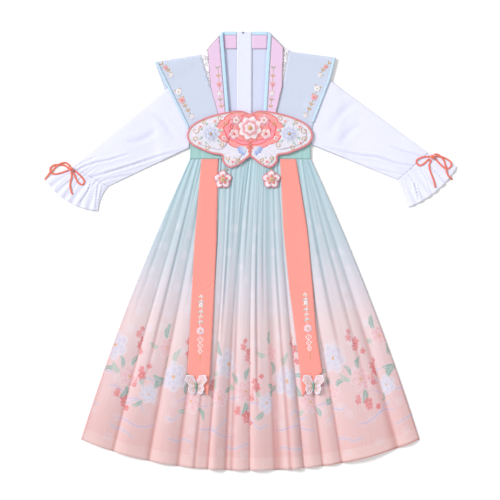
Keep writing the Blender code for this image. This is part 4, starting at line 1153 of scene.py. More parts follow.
def build_sleeve(side, dye):
    """A long sleeve, creased towards its gathered cuff."""
    armhole, seam = np.array(ARMHOLES[side]), np.array(CUFF_SEAMS[side])
    step_start, step_end, open_end = SLEEVE_STEP
    length = span(armhole[0], seam[0])
    share = np.linspace(0.0, 1.0, SLEEVE_COLUMNS + 1)
    rings, fold_shades = [], []
    for along in np.linspace(0.0, 1.0 + SEAM_TUCK / length, SLEEVE_ROWS + 1):
        ends = armhole + (seam - armhole) * along
        x, y = (ends[0] + (ends[1] - ends[0]) * share[:, None]).T
        bulge = SLEEVE_BULGE * np.sin(math.pi * share) * (1.0 - 0.5 * along) * (1.0 - ease(along, 0.88, 1.0))
        gathers = CUFF_GATHER_RISE * drawn_gathers(share) * ease(along, 0.84, 1.0)
        creased = crease_relief(x, y, SLEEVE_CREASES[side]) * bpy.context.scene.dress_sizes.crease_share
        base = LAYER * (1.0 - ease(along, step_start, step_end))
        lift = ease(along, step_end, open_end) * (bulge + gathers) + creased
        rings.append(tube_ring(base, x, y, lift, share))
        # Painted shade: darker in the creases' troughs and between the gathers near the cuff.
        gather_shade = (1.0 - drawn_gathers(share)) * ease(along, 0.88, 1.0) * 0.22
        fold_shades.append(np.clip(-creased / 2.6, 0.0, 1.0) + gather_shade)
    press_tube(f"sleeve_{side}", rings, fold_shades, dye, 2.0 * span(*armhole), length)


def bowed(start, end, share, bow):
    """Places on a shallow bow between two points, its rise to the left of the way."""
    start, end = np.array(start), np.array(end)
    way = end - start
    normal = np.array([-way[1], way[0]]) / np.linalg.norm(way)
    share = np.asarray(share)[..., None]
    return start + way * share + normal * bow * 4.0 * share * (1.0 - share)


def build_cuff(side, dye):
    """The gathered ruffle past the drawstring, with waves that open to its hem."""
    cuff = CUFFS[side]
    share = np.linspace(0.0, 1.0, CUFF_COLUMNS + 1)
    fine = drawn_gathers(share)
    rings, fold_shades = [], []
    for along in np.linspace(0.0, 1.0, CUFF_ROWS + 1):
        upper = bowed(cuff.upper_start, cuff.upper_end, along, cuff.upper_bow)
        lower = bowed(cuff.lower_start, cuff.lower_end, along, cuff.lower_bow)
        x, y = bowed(upper, lower, share, cuff.hem_sag * along).T
        waves = RUFFLE_RISE * np.sin(RUFFLE_WAVES * math.pi * share) ** 2 * along
        creased = crease_relief(x, y, CUFF_CREASES[side]) * ease(along, 0.0, 0.1)
        creased *= bpy.context.scene.dress_sizes.crease_share
        rings.append(tube_ring(0.0, x, y, waves + CUFF_GATHER_RISE * fine * (1.0 - along) + creased, share))
        # Painted shade: darker in the creases' troughs and between the gathers at the drawstring.
        gather_shade = (1.0 - fine) * (1.0 - ease(along, 0.0, 0.4)) * 0.25
        fold_shades.append(np.clip(-creased / 2.4, 0.0, 1.0) + gather_shade)
    around = 2.3 * span(cuff.upper_end, cuff.lower_end)
    press_tube(f"cuff_{side}", rings, fold_shades, dye, around, span(cuff.upper_start, cuff.upper_end))


def fold_columns():
    """Columns of the skirt: waist and hem shares, rise, place in the pleat and the pleat's number."""
    columns = []
    for number, (fold, after) in enumerate(zip(FOLDS, FOLDS[1:] + (Fold(1.0, 1.0, 0.0, 0.5),))):
        power = math.log(0.5) / math.log(fold.crest)
        for share in np.arange(FOLD_STEPS) / FOLD_STEPS:
            bump = math.sin(math.pi * share ** power)
            waist = fold.waist + (after.waist - fold.waist) * share
            columns.append((waist, fold.hem + (after.hem - fold.hem) * share, fold.rise * bump, bump, number))
    columns.append((1.0, 1.0, 0.0, 0.0, len(FOLDS) - 1))
    return np.array(columns)


def skirt_surface():
    """Places of the pleated front in mm, and how much painted shade each takes for lying deep in a pleat, a
    softer line or a gather.
    """
    waist, hem, rise, bump, _number = fold_columns().T[:, None, :]
    down = np.linspace(0.0, 1.0, SKIRT_ROWS + 1)[:, None]
    settle = (1.0 - down) ** FOLD_SETTLE_POWER
    share = hem + (waist - hem) * settle
    x = BODY_AXIS_X + share * skirt_half(down)
    y = SKIRT_TOP_Y - down * (SKIRT_LENGTH - HEM_RISE * np.abs(share) ** HEM_POWER)
    grow = WAIST_RISE_SHARE + (1.0 - WAIST_RISE_SHARE) * ease(down, 0.0, 1.0)
    base = LAYER * (2.0 - ease(down, HEM_EASE_START, 1.0))
    lines = np.zeros_like(share)
    for line in SOFT_LINES:
        centre = line.hem + (line.waist - line.hem) * settle
        reach = 1.0 - ease(down, line.end - 0.3, line.end)
        lines += line.depth * np.exp(-(((share - centre) / line.width) ** 2)) * reach
    lines = np.minimum(lines, 0.6 * rise * grow + 0.5)
    wander = waist + 0.02 * np.sin(11.0 * waist) + 0.012 * np.sin(27.0 * waist + 1.0)
    ridge = np.abs(np.sin(GATHER_COUNT * math.pi / 2.0 * wander)) ** 0.8
    fade = 1.0 - ease(down, 0.02, GATHER_FADE + 0.12 * np.sin(7.0 * waist + 2.0))
    height = base + rise * grow - lines + GATHER_RISE * (ridge - 0.4) * fade + CLOTH - SKIN
    height[:, [0, -1]] = LAYER + CLOTH - SKIN
    # Painted shade: darkest in the pleats' valleys, in the softer lines and between the gathers at the waist.
    valley_shade = np.exp(-((bump / VALLEY_SHARPNESS) ** 2)) * (0.55 + 0.45 * grow)
    depth = np.clip(valley_shade + 0.36 * lines + 0.25 * (1.0 - ridge) ** 2 * fade, 0.0, 1.0)
    return np.stack([x, y, height], axis=-1), depth


def build_skirt_front(dye):
    """The pleated front, with softer lines between the pleats and gathers at the waist."""
    places, depth = skirt_surface()
    rows, across, _axes = places.shape
    columns = fold_columns()
    along = columns[:, 1] * HEM_HALF + columns[:, 4] * HIDDEN_CLOTH
    level = np.linspace(0.0, SKIRT_LENGTH, rows)
    faces, drawn = [], []
    for row in range(rows - 1):
        for column in range(across - 1):
            first = row * across + column
            faces.append((first + across, first + across + 1, first + 1, first))
            left = along[column]
            right = along[column + 1] - (columns[column + 1, 4] - columns[column, 4]) * HIDDEN_CLOTH
            upper, lower = level[row], level[row + 1]
            drawn += [(left, lower, 0.0), (right, lower, 0.0), (right, upper, 0.0), (left, upper, 0.0)]
    mesh = make_mesh("skirt_front_cloth", places.reshape(-1, 3), faces)
    add_attribute(mesh, "Print", drawn, "FLOAT_VECTOR", "CORNER", "vector")
    # The Fold attribute carries the painted shade of the pleats and gathers.
    add_attribute(mesh, "Fold", depth)
    obj = link(mesh.name, mesh, dye)
    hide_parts("skirt_front")
    area = sheet_area(mesh)
    width = float(np.linalg.norm(np.diff(places[-1], axis=0), axis=1).sum()) * MM
    length = SKIRT_LENGTH * MM
    max(width, area / length)
    add_wall(obj, bpy.context.scene.dress_sizes.wall)
    tops.add(obj)


def mark_print(obj):
    """Gives a flat layer of the skirt the print's coordinates and no pleats."""
    places = np.array([vertex.co[:2] for vertex in obj.data.vertices]) / MM
    down = np.clip((SKIRT_TOP_Y - places[:, 1]) / SKIRT_LENGTH, 0.0, 1.0)
    along = (places[:, 0] - BODY_AXIS_X) / skirt_half(down) * HEM_HALF
    printed = np.column_stack([along, down * SKIRT_LENGTH, 0.0 * down])
    add_attribute(obj.data, "Print", printed, "FLOAT_VECTOR", "POINT", "vector")


def build_bodice_inside():
    """The back of the vest and blouse, with the collar's facing and the placket inside the neck."""
    colours = bpy.context.scene.dress_colours
    organza = sheer("Vest back organza", colours.organza, 0.66)
    lay_cloth("vest_back", organza, 9.0, Lay("laid"), soft_waves(38.0, 0.25))
    # Painted shade: the back's voile is the blouse voile darkened, as it lies deeper inside the bodice.
    voile = fabric("Lining voile", dye_code("D4D9F1"))
    lay_cloth("blouse_back", voile, 6.0, Lay("laid", ["vest_back"]), soft_waves(24.0, 0.5))
    placket = fabric("Placket voile", dye_code("E6E8FD"))
    on_back = ["blouse_back"]
    lay_cloth("back_placket", placket, 5.0, Lay("folded", on_back), soft_waves(16.0, 0.3))
    facing = satin("Facing satin", colours.collar)
    piping = satin("Neck piping satin", colours.binding)
    for side in SIDES:
        trim = lay_cloth(f"collar_back_piping_{side}", piping, 2.5)
        lay_cloth(f"collar_back_{side}", facing, 4.0, Lay("folded", on_back, [trim]),
                  soft_waves(9.0, 0.35))
    recolour("neck_hook", plain_thread("Hook metal", (0.26, 0.26, 0.28), 0.25, 0.9))


def build_blouse_fronts():
    """The blouse fronts under the sheer vest."""
    voile = fabric("Blouse voile", bpy.context.scene.dress_colours.blouse)
    for side in SIDES:
        lay_cloth(f"blouse_front_{side}", voile, 6.0, Lay("laid", ["blouse_back"]),
                  soft_waves(22.0, 0.4))


def build_sleeves():
    """Both sleeves and their ruffles."""
    voile = fabric("Sleeve voile", bpy.context.scene.dress_colours.blouse)
    for side in SIDES:
        build_sleeve(side, voile)
        build_cuff(side, voile)


def build_vest_fronts():
    """The sheer fronts with flared shoulders, their binding and the lace beside the collar."""
    colours = bpy.context.scene.dress_colours
    organza = sheer("Vest organza", colours.organza, 0.6)
    binding = satin("Binding satin", colours.binding)
    lace = lace_dye(colours.white)
    for side in SIDES:
        below = [f"blouse_front_{side}"]
        trim = lay_cloth(f"vest_binding_{side}", binding, 2.5)
        lay_cloth(f"vest_front_{side}", organza, 6.0, Lay("laid", below, [trim]),
                  soft_waves(30.0, 0.6))
        lay_cloth(f"lace_{side}", lace, 3.0, Lay("laid", below), soft_waves(9.0, 0.2))


def build_collars():
    """The two front collar bands and their pipings."""
    colours = bpy.context.scene.dress_colours
    band = satin("Collar satin", colours.collar)
    piping = satin("Collar piping satin", colours.binding)
    wall = bpy.context.scene.dress_sizes.band_wall
    for side in SIDES:
        trim = lay_cloth(f"collar_piping_{side}", piping, 2.5, wall=wall)
        lay = Lay("folded", [f"blouse_front_{side}"], [trim])
        lay_cloth(f"collar_{side}", band, 4.0, lay, soft_waves(14.0, 0.35), wall)


def waist_puckers(x, y, apart):
    """Small upright puckers where the skirt's gathers pull at the band."""
    pulls = np.sin(x / 2.6 + 0.6 * np.sin(y / 7.0)) * np.sin(x / 11.0) ** 2
    return 0.5 * (pulls - 1.0) * ease(apart, 0.0, 3.0)


def build_waistband():
    """The waistband's back and front."""
    band = satin("Waistband satin", bpy.context.scene.dress_colours.waistband, 0.45)
    wall = bpy.context.scene.dress_sizes.band_wall
    lay_cloth("waistband_back", band, 6.0, Lay("folded"), None, wall)
    lay_cloth("waistband_front", band, 3.0, Lay("folded", ["waistband_back"]),
              waist_puckers, wall)


def build_skirt():
    """The skirt's back, lining and pleated front."""
    back = skirt_dye("Back chiffon", False, 1.0, 0.0, 1.9)
    lining = fabric("Skirt lining", dye_code("F6F1F3"))
    mark_print(lay_cloth("skirt_back", back, 12.0, Lay("laid")))
    lay_cloth("skirt_lining", lining, 12.0, Lay("laid", ["skirt_back"]))
    build_skirt_front(skirt_dye("Printed chiffon", True, 0.65, 0.55, 1.1))


def build_bands():
    """The two hanging bands on the crests of the pleats."""
    dye = satin("Band satin", bpy.context.scene.dress_colours.band)

    def ripple(x, y, apart):
        sway = np.sin(y / 46.0) + 0.6 * np.sin(y / 19.0 + x / 30.0)
        pressed = 0.3 * sway * ease(apart, 0.0, 10.0) + 0.4 * ease(apart, 0.0, 3.5) - 0.4
        return pressed + 0.8 * crease_relief(x, y, BAND_CREASES) * ease(apart, 0.0, 4.0)

    for side in SIDES:
        lay_cloth(f"streamer_{side}", dye, 2.6, Lay("laid", ["skirt_front"]), ripple,
                  blur=12.0)


class Needlework:
    """Raised stitches and beads, gathered into one mesh, each with its own thread colour."""

    def __init__(self, only=None, lift=0.05):
        self.points = []
        self.faces = []
        self.tints = []
        self.runs = []
        self.only = only
        self.lift = lift
        self.level = 0.0
        self.seat = 0.0

    def add(self, x, y, rise, tint, run=(0.0, 0.0)):
        self.seat = tops.at(x, y, self.only) or self.seat
        self.points.append((x, y, self.seat + self.lift + rise))
        self.tints.append((*tint[:3], 1.0))
        self.runs.append((run[0] * MM, run[1] * MM, 0.0))
        return len(self.points) - 1

    def strip(self, grid):
        """Faces between rows of points."""
        for upper, lower in zip(grid, grid[1:]):
            for i in range(len(upper) - 1):
                self.faces.append((upper[i], lower[i], lower[i + 1], upper[i + 1]))

    def petal(self, x, y, turn, length, width, rise, tint, tip, blunt=1.4, rows=6):
        """A padded petal or leaf from its root, raised along its middle."""
        grid = []
        for share in np.arange(rows + 1) / rows:
            half = width / 2.0 * max(math.sin(math.pi * share ** blunt), 0.0) ** 0.8 + 0.02
            tone = [a + (b - a) * share for a, b in zip(tint, tip)]
            line = []
            for column in (-1.0, -0.5, 0.0, 0.5, 1.0):
                along, across = length * share, half * column
                place = (x + along * math.cos(turn) - across * math.sin(turn),
                         y + along * math.sin(turn) + across * math.cos(turn))
                swell = rise * (1.0 - column * column) ** 0.7
                swell *= math.sin(math.pi * min(max(share, 0.06), 0.94))
                line.append(self.add(*place, swell + self.level, tone, (across, along)))
            grid.append(line)
        self.strip(grid)

    def flower(self, x, y, radius, petals, width, tint, tip, heart, level=0.0, turn=0.0):
        """Round petals about a button, at some level above the cloth."""
        self.level = level
        for i in range(petals):
            self.petal(x, y, turn + math.tau * i / petals, radius, width, 0.9, tint, tip)
        self.level = 0.0
        self.bead(x, y, radius * 0.17, heart, level + 0.7)

    def bead(self, x, y, radius, tint, rise=0.0):
        """A small round bead."""
        grid = []
        for tilt in (0.0, 0.5, 1.0, 1.5):
            reach = radius * math.cos(tilt)
            high = rise + radius * math.sin(tilt)
            turns = np.arange(9) * math.tau / 8.0
            grid.append([
                self.add(x + reach * math.cos(a), y + reach * math.sin(a), high, tint)
                for a in turns
            ])
        self.strip([row[::-1] for row in grid])

    def bead_ring(self, x, y, reach, count, radius, tint, rise):
        """Small beads in a ring."""
        for angle in np.arange(count) * math.tau / count:
            self.bead(x + reach * math.cos(angle), y + reach * math.sin(angle), radius, tint, rise)

    def stem(self, route, width, rise, tint, step=1.6):
        """A half-round line of stitches along a route."""
        places = smooth_curve(route, step)
        grid = []
        for i, (place, across) in enumerate(zip(places, sideways(places))):
            grid.append([
                self.add(*(place + across * side * width / 2.0), rise * high, tint, (i * step, side))
                for side, high in ((-1.0, 0.0), (-0.5, 0.8), (0.0, 1.0), (0.5, 0.8), (1.0, 0.0))
            ])
        self.strip(grid)

    def curl(self, x, y, radius, start, turns, tint):
        """A spiral of cord that winds in to its middle."""
        route = [
            (x + radius * (1.0 - 0.8 * share) * math.cos(start + turns * math.tau * share),
             y + radius * (1.0 - 0.8 * share) * math.sin(start + turns * math.tau * share))
            for share in np.linspace(0.0, 1.0, 9)
        ]
        self.stem(route, 1.9, 0.8, tint)

    def build(self, name, dye, replaced=()):
        mesh = make_mesh(name, self.points, self.faces)
        add_attribute(mesh, "Tint", self.tints, "FLOAT_COLOR", "POINT", "color")
        add_attribute(mesh, "Run", self.runs, "FLOAT_VECTOR", "POINT", "vector")
        obj = link(name, mesh, dye)
        if replaced:
            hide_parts(*replaced)
        return obj


def threads():
    """Thread colours by name."""
    colours = bpy.context.scene.dress_colours
    names = ("gold", "red", "blue", "leaf", "salmon", "white", "pink", "field", "ground")
    return {name: tuple(getattr(colours, name)) for name in names}


FIELDS = tuple(f"ornament_field_{level}_{side}" for level in ("upper", "lower") for side in SIDES)
ORNAMENT_CLOTHS = ("butterfly_ornament_cloth", *(field + "_cloth" for field in FIELDS))


def build_ornament():
    """The padded butterfly ornament: its ground, fields, rosettes, leaves, scrolls and blossoms."""
    tone = threads()
    dye = ornament_dye(tone)

    def padded_edge(rise):
        return lambda x, y, apart: rise * (ease(apart, 0.0, 3.0) - 1.0)

    lay_cloth("butterfly_ornament", dye, 2.2, None, padded_edge(1.3),
              bpy.context.scene.dress_sizes.band_wall)
    for node in FIELDS:
        field = lay_cloth(node, dye, 3.0, None, padded_edge(1.0))
        edge = field.data.attributes["Edge"].data
        edge.foreach_set("value", [FAR_INSIDE] * len(edge))
    outline = "butterfly_ornament"
    stitch_rows("ornament_edge_stitches", [inset_outline(outline, 1.6)], 1.5, (1.7, 3.4, 0.9), 0.5,
                ORNAMENT_CLOTHS, plain_thread("Edge thread", tone["ground"]))
    stitch_rows("ornament_gold_cord", [inset_outline(outline, BORDER + 0.6)], 1.3, (1.8, 1.2, 0.7), 0.2,
                ORNAMENT_CLOTHS, plain_thread("Gold edge thread", tone["gold"], 0.35, 0.4))
    work = Needlework(ORNAMENT_CLOTHS)
    for sign in (-1, 1):
        dress_wing(work, sign, tone)
    dress_body(work, tone)
    work.build("ornament_needlework", threadwork("Ornament threads"),
               ("ornament_blossom",))


def dress_wing(work, sign, tone):
    """One wing of the ornament: a rosette, leaves, curled gold cord and small blossoms."""

    def at(x, y):
        return ORNAMENT_X + sign * x, ORNAMENT_Y + y

    def aim(angle):
        return angle if sign > 0 else math.pi - angle

    for turn, length in (
        (0.5, 17.0), (1.2, 15.0), (2.1, 16.0), (2.8, 14.0), (-0.4, 15.0), (-1.1, 14.0), (-2.4, 15.0),
    ):
        x, y = at(94.0 + 19.0 * math.cos(turn), 14.0 + 19.0 * math.sin(turn))
        work.petal(x, y, aim(turn), length, 6.6, 0.8, tone["leaf"], tone["white"], 0.9)
    x, y = at(94.0, 14.0)
    work.flower(x, y, 24.0, 10, 13.0, tone["blue"], tone["white"], tone["gold"], 0.2)
    work.flower(x, y, 17.5, 8, 11.0, shaded(tone["blue"], 0.8), tone["field"], tone["gold"], 1.1, 0.3)
    work.flower(x, y, 11.0, 6, 9.0, tone["blue"], tone["white"], tone["gold"], 2.0, 0.7)
    for cx, cy, radius, start, turns in (
        (130.0, 22.0, 9.0, 2.2, 1.1), (131.0, 1.0, 7.5, 3.4, -1.1), (111.0, 41.0, 6.5, 0.4, 1.2),
        (72.0, 50.0, 7.0, 2.6, -1.1), (69.0, -12.0, 8.0, 1.2, 1.1), (103.0, -18.0, 6.5, 2.2, 1.0),
        (58.0, 36.0, 6.0, 0.2, 1.1), (27.0, -48.0, 6.0, 1.0, -1.2), (54.0, -44.0, 6.0, 2.4, 1.1),
    ):
        work.curl(*at(cx, cy), radius, aim(start), sign * turns, tone["gold"])
    for bx, by, radius in ((119.0, 31.0, 6.0), (121.0, -8.0, 5.5), (62.0, 4.0, 6.0), (84.0, 44.0, 5.5)):
        work.flower(*at(bx, by), radius, 5, radius, tone["salmon"], tone["white"], tone["red"], 0.3)
    for i in range(5):
        work.petal(*at(9.0, -17.0), aim(-0.15 - 0.27 * i), 23.0, 7.5, 0.9, tone["white"], tone["blue"])
    work.flower(*at(41.0, -53.0), 9.5, 6, 8.0, tone["pink"], tone["white"], tone["red"], 0.5)
    for turn in (0.2, 1.9, 3.6, 4.9):
        x, y = at(41.0 + 8.0 * math.cos(turn), -53.0 + 8.0 * math.sin(turn))
        work.petal(x, y, aim(turn), 8.0, 4.4, 0.6, tone["leaf"], tone["white"], 0.9)
    work.flower(*at(33.0, 47.0), 15.0, 6, 13.0, tone["red"], tone["pink"], tone["gold"], 0.6, 0.4)
    work.flower(*at(33.0, 47.0), 9.0, 5, 8.0, tone["pink"], tone["white"], tone["gold"], 1.6)
    work.flower(*at(38.0, 14.0), 12.0, 5, 11.0, tone["salmon"], tone["white"], tone["red"], 0.6, 0.8)


def dress_body(work, tone):
    """The middle of the ornament: stacked petals below a raised blossom."""
    for i in range(4):
        place = (ORNAMENT_X, ORNAMENT_Y - 6.0 - 8.0 * i)
        work.petal(*place, -math.pi / 2.0, 11.0, 16.0 - 2.5 * i, 0.9, tone["red"], tone["salmon"])
        work.bead(*place, 1.6, tone["gold"], 1.2)
    place = (ORNAMENT_X, ORNAMENT_Y + 28.0)
    work.flower(*place, 36.0, 9, 21.0, tone["red"], tone["salmon"], tone["gold"], 0.3, 0.2)
    work.flower(*place, 29.0, 8, 19.0, tone["pink"], tone["white"], tone["gold"], 1.3, 0.5)
    work.flower(*place, 21.0, 7, 15.0, tone["red"], tone["pink"], tone["gold"], 2.3, 0.1)
    work.flower(*place, 14.0, 6, 12.0, tone["pink"], tone["white"], tone["red"], 3.2, 0.6)
    work.bead_ring(*place, 4.4, 8, 1.0, tone["gold"], 4.1)


def stitch_tree():
    """A geometry tree that sets one stitch after another along a route."""
    tree = bpy.data.node_groups.new("Row of stitches", "GeometryNodeTree")
    face = tree.interface
    face.new_socket("Geometry", in_out="INPUT", socket_type="NodeSocketGeometry")
    for name, kind in (("Spacing", "Float"), ("Stitch", "Object"), ("Material", "Material")):
        face.new_socket(name, in_out="INPUT", socket_type="NodeSocket" + kind)
    face.new_socket("Geometry", in_out="OUTPUT", socket_type="NodeSocketGeometry")
    nodes = tree.nodes
    given = nodes.new("NodeGroupInput")
    result = nodes.new("NodeGroupOutput")
    curve = nodes.new("GeometryNodeMeshToCurve")
    resample = nodes.new("GeometryNodeResampleCurve")
    resample.mode = "LENGTH"
    tangent = nodes.new("GeometryNodeInputTangent")
    turn = nodes.new("FunctionNodeAlignRotationToVector")
    turn.axis = "X"
    turn.pivot_axis = "Z"
    stitch = nodes.new("GeometryNodeObjectInfo")
    place = nodes.new("GeometryNodeInstanceOnPoints")
    realize = nodes.new("GeometryNodeRealizeInstances")
    finish = nodes.new("GeometryNodeSetMaterial")
    for start, output, end, entry in (
        (given, "Geometry", curve, "Mesh"),
        (curve, "Curve", resample, "Curve"),
        (given, "Spacing", resample, "Length"),
        (resample, "Curve", place, "Points"),
        (given, "Stitch", stitch, "Object"),
        (stitch, "Geometry", place, "Instance"),
        (tangent, "Tangent", turn, "Vector"),
        (turn, "Rotation", place, "Rotation"),
        (place, "Instances", realize, "Geometry"),
        (realize, "Geometry", finish, "Geometry"),
        (given, "Material", finish, "Material"),
        (finish, "Geometry", result, "Geometry"),
    ):
        tree.links.new(start.outputs[output], end.inputs[entry])
    return tree


def stitch_shape(length, width, rise):
    """One rounded stitch that lies along X."""
    mesh = bpy.data.meshes.new("stitch")
    shape = bmesh.new()
    bmesh.ops.create_icosphere(shape, subdivisions=1, radius=1.0)
    bmesh.ops.scale(shape, vec=(length / 2.0 * MM, width / 2.0 * MM, rise * MM), verts=shape.verts)
    shape.to_mesh(mesh)
    shape.free()
    mesh.shade_smooth()
    obj = bpy.data.objects.new("stitch", mesh)
    bpy.context.scene.collection.objects.link(obj)
    return obj


def stitch_rows(name, routes, spacing, stitch, rise, only, dye):
    """Rows of one stitch along routes that are seated on their cloth, as one plain mesh."""
    points, edges = [], []
    seat = 0.0
    for route in routes:
        edges += [(len(points) + i, len(points) + i + 1) for i in range(len(route) - 1)]
        for x, y in route:
            seat = tops.at(x, y, only) or seat
            points.append((x * MM, y * MM, (seat + rise) * MM))
    mesh = bpy.data.meshes.new(name + "_route")
    mesh.from_pydata(points, edges, [])
    carrier = bpy.data.objects.new(name + "_route", mesh)
    bpy.context.scene.collection.objects.link(carrier)
    shape = stitch_shape(*stitch)
    modifier = carrier.modifiers.new("Stitches", "NODES")
    modifier.node_group = bpy.data.node_groups.get("Row of stitches") or stitch_tree()
    named = {"Spacing": spacing * MM, "Stitch": shape, "Material": dye.material}
    for item in modifier.node_group.interface.items_tree:
        if item.in_out == "INPUT" and item.name in named:
            modifier[item.identifier] = named[item.name]
    depsgraph = bpy.context.evaluated_depsgraph_get()
    depsgraph.update()
    made = bpy.data.meshes.new_from_object(carrier.evaluated_get(depsgraph))
    bpy.data.objects.remove(carrier)
    bpy.data.objects.remove(shape)
    made.name = name
    made.materials.clear()
    link(name, made, dye)


def inset_outline(node, distance):
    """A solid's outline moved inward, as a closed route."""
    edge = densified(top_outline(node), OUTLINE_STEP)
    way = np.roll(edge, -2, axis=0) - np.roll(edge, 2, axis=0)
    normal = np.column_stack([-way[:, 1], way[:, 0]]) / np.linalg.norm(way, axis=1)[:, None]
    moved = edge + normal * distance
    return np.vstack([moved, moved[:1]])


def build_pendants():
    """Two padded flowers that hang from the ornament on short links."""
    tone = threads()
    dye = threadwork("Pendant threads")
    gold = plain_thread("Link thread", tone["gold"], 0.3, 0.6)
    wall = bpy.context.scene.dress_sizes.wall
    for side, place in PENDANTS.items():
        node = f"flower_pendant_{side}"
        work = Needlework((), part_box(node)[0].z / MM + 0.8)
        turn = math.pi / 2.0
        work.flower(*place, PENDANT_RADIUS, 5, 21.0, tone["ground"], tone["ground"], tone["gold"], 0.0, turn)
        inner = PENDANT_RADIUS - 2.2
        work.flower(*place, inner, 5, 16.5, tone["pink"], tone["white"], tone["gold"], 0.6, turn)
        work.flower(*place, 13.5, 5, 7.0, tone["red"], tone["salmon"], tone["gold"], 1.6, turn)
        work.flower(*place, 8.0, 6, 5.0, tone["white"], tone["gold"], tone["red"], 2.2)
        work.bead_ring(*place, 3.6, 7, 0.9, tone["gold"], 2.8)
        add_wall(work.build(node + "_petals", dye, (node,)), wall)
        recolour(f"pendant_link_{side}", gold)


def build_butterflies():
    """A gauze butterfly at the end of each band, with wired veins and a beaded body."""
    tone = threads()
    gauze = sheer("Butterfly gauze", dye_code("F7E4F1"), 0.5)
    wires = threadwork("Butterfly wires", 0.35)
    body = plain_thread("Butterfly body beads", tone["leaf"], 0.3, 0.4)
    rows = smooth_curve(GAUZE_WINGS, 1.6)
    columns = np.linspace(-1.0, 1.0, 29)
    reach = np.abs(columns)
    across = len(columns)
    for side, (centre_x, centre_y) in BUTTERFLIES.items():
        node = f"streamer_butterfly_{side}"
        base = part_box(node)[0].z / MM + CLOTH
        points = []
        for root_y, half, tip_y in rows:
            x = centre_x + half * columns * (1.0 + 0.05 * math.sin(2.0 * root_y) * reach)
            y = centre_y + root_y + (tip_y - root_y) * reach
            points += zip(x, y, base + half * BUTTERFLY_LIFT * reach + 0.3 * np.sin(9.0 * reach))
        faces = [
            (first + across, first + across + 1, first + 1, first)
            for row in range(len(rows) - 1)
            for first in range(row * across, row * across + across - 1)
        ]
        mesh = make_mesh(node + "_gauze", points, faces)
        obj = link(mesh.name, mesh, gauze)
        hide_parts(node)
        add_wall(obj, 0.0006)
        tops.add(obj)
        recolour(f"streamer_butterfly_body_{side}", body)
        work = Needlework((obj.name,))
        rim = np.array(points).reshape(len(rows), across, 3)[:, :, :2]
        for column in (1, -2):
            work.stem(rim[::4, column], 1.8, 0.5, tone["white"])
        for sign in (-1, 1):
            for far, high in ((17.0, 19.0), (21.0, 11.0), (14.0, -8.0), (10.0, -14.0)):
                route = [(centre_x + sign * 2.0, centre_y + high * 0.1),
                         (centre_x + sign * far * 0.55, centre_y + high * 0.6),
                         (centre_x + sign * far, centre_y + high)]
                work.stem(route, 1.4, 0.4, tone["gold"])
                work.petal(centre_x + sign * far * 0.6, centre_y + high * 0.66, math.atan2(high, sign * far),
                           8.0, 5.0, 0.4, tone["salmon"], tone["white"])
        work.build(node + "_wires", wires)


def sprig(work, x, y, kind, turn, tone):
    """A leaf pair, bud or small flower. A capital letter makes it large."""
    size = 8.0 if kind.isupper() else 5.6
    leaf = tone["leaf"] if kind == "l" else tone["gold"]
    for lean in (-0.8, 0.8):
        work.petal(x, y, turn + lean, size * 1.5, size * 0.55, 0.35, leaf, tone["gold"], 0.9)
    if kind in "pPwW":
        petal, tip = (tone["white"], tone["white"]) if kind in "wW" else (tone["salmon"], tone["pink"])
        work.flower(x, y, size, 5, size * 0.95, petal, tip, tone["gold"], 0.2, turn)


def build_embroidery():
    """Sprigs on the collar and the flared shoulders, and columns on the hanging bands."""
    tone = threads()
    work = Needlework([f"{piece}_{side}_cloth" for piece in ("collar", "vest_front") for side in SIDES])
    for places, kinds in SPRIGS:
        ends = np.array(places[-1]) - np.array(places[0])
        turn = math.atan2(-ends[1], -ends[0])
        work.stem(places, 1.3, 0.3, tone["gold"])
        for (x, y), kind in zip(places, kinds):
            sprig(work, x, y, kind, turn, tone)
    work.build("bodice_embroidery", threadwork("Bodice threads"))
    dye = threadwork("Band threads")
    for side, (top, foot) in BAND_COLUMNS.items():
        work = Needlework((f"streamer_{side}_cloth",))
        embroider_band(work, np.array(top), np.array(foot), tone)
        work.build(f"streamer_{side}_embroidery", dye)


def embroider_band(work, top, foot, tone):
    """A column down a hanging band: leaf pairs, flowers, a lattice of diamonds and beads."""
    way = foot - top
    across = np.array([-way[1], way[0]]) / np.linalg.norm(way)
    turn = math.atan2(way[1], way[0])

    def at(share, off=0.0):
        return tuple(top + way * share + across * off)

    work.stem([at(0.0), at(0.2, 2.5), at(0.4, -2.5), at(0.5)], 1.3, 0.35, tone["white"])
    for i in range(6):
        leaf = tone["leaf"] if i % 2 else tone["gold"]
        for lean in (-0.8, 0.8):
            work.petal(*at(0.02 + 0.075 * i), turn + lean, 10.0, 4.2, 0.4, tone["white"], leaf, 0.9)
    work.flower(*at(0.16), 5.0, 5, 5.0, tone["white"], tone["white"], tone["gold"], 0.3, turn)
    work.flower(*at(0.55), 10.5, 6, 9.0, tone["white"], tone["pink"], tone["gold"], 0.3, turn)
    work.flower(*at(0.55), 6.0, 5, 5.0, tone["salmon"], tone["white"], tone["gold"], 1.0, turn)
    for i in range(3):
        share = 0.64 + 0.085 * i
        middle = share + 0.042
        reach = 7.5 - 1.2 * i
        corners = [at(share), at(middle, reach), at(share + 0.085), at(middle, -reach), at(share)]
        for start, end in zip(corners, corners[1:]):
            work.stem([start, end], 1.5, 0.4, tone["white"])
        work.bead(*at(middle), 1.6, tone["white"], 0.2)
    for i in range(4):
        work.bead(*at(0.91 + 0.03 * i), 1.3, tone["gold"], 0.1)


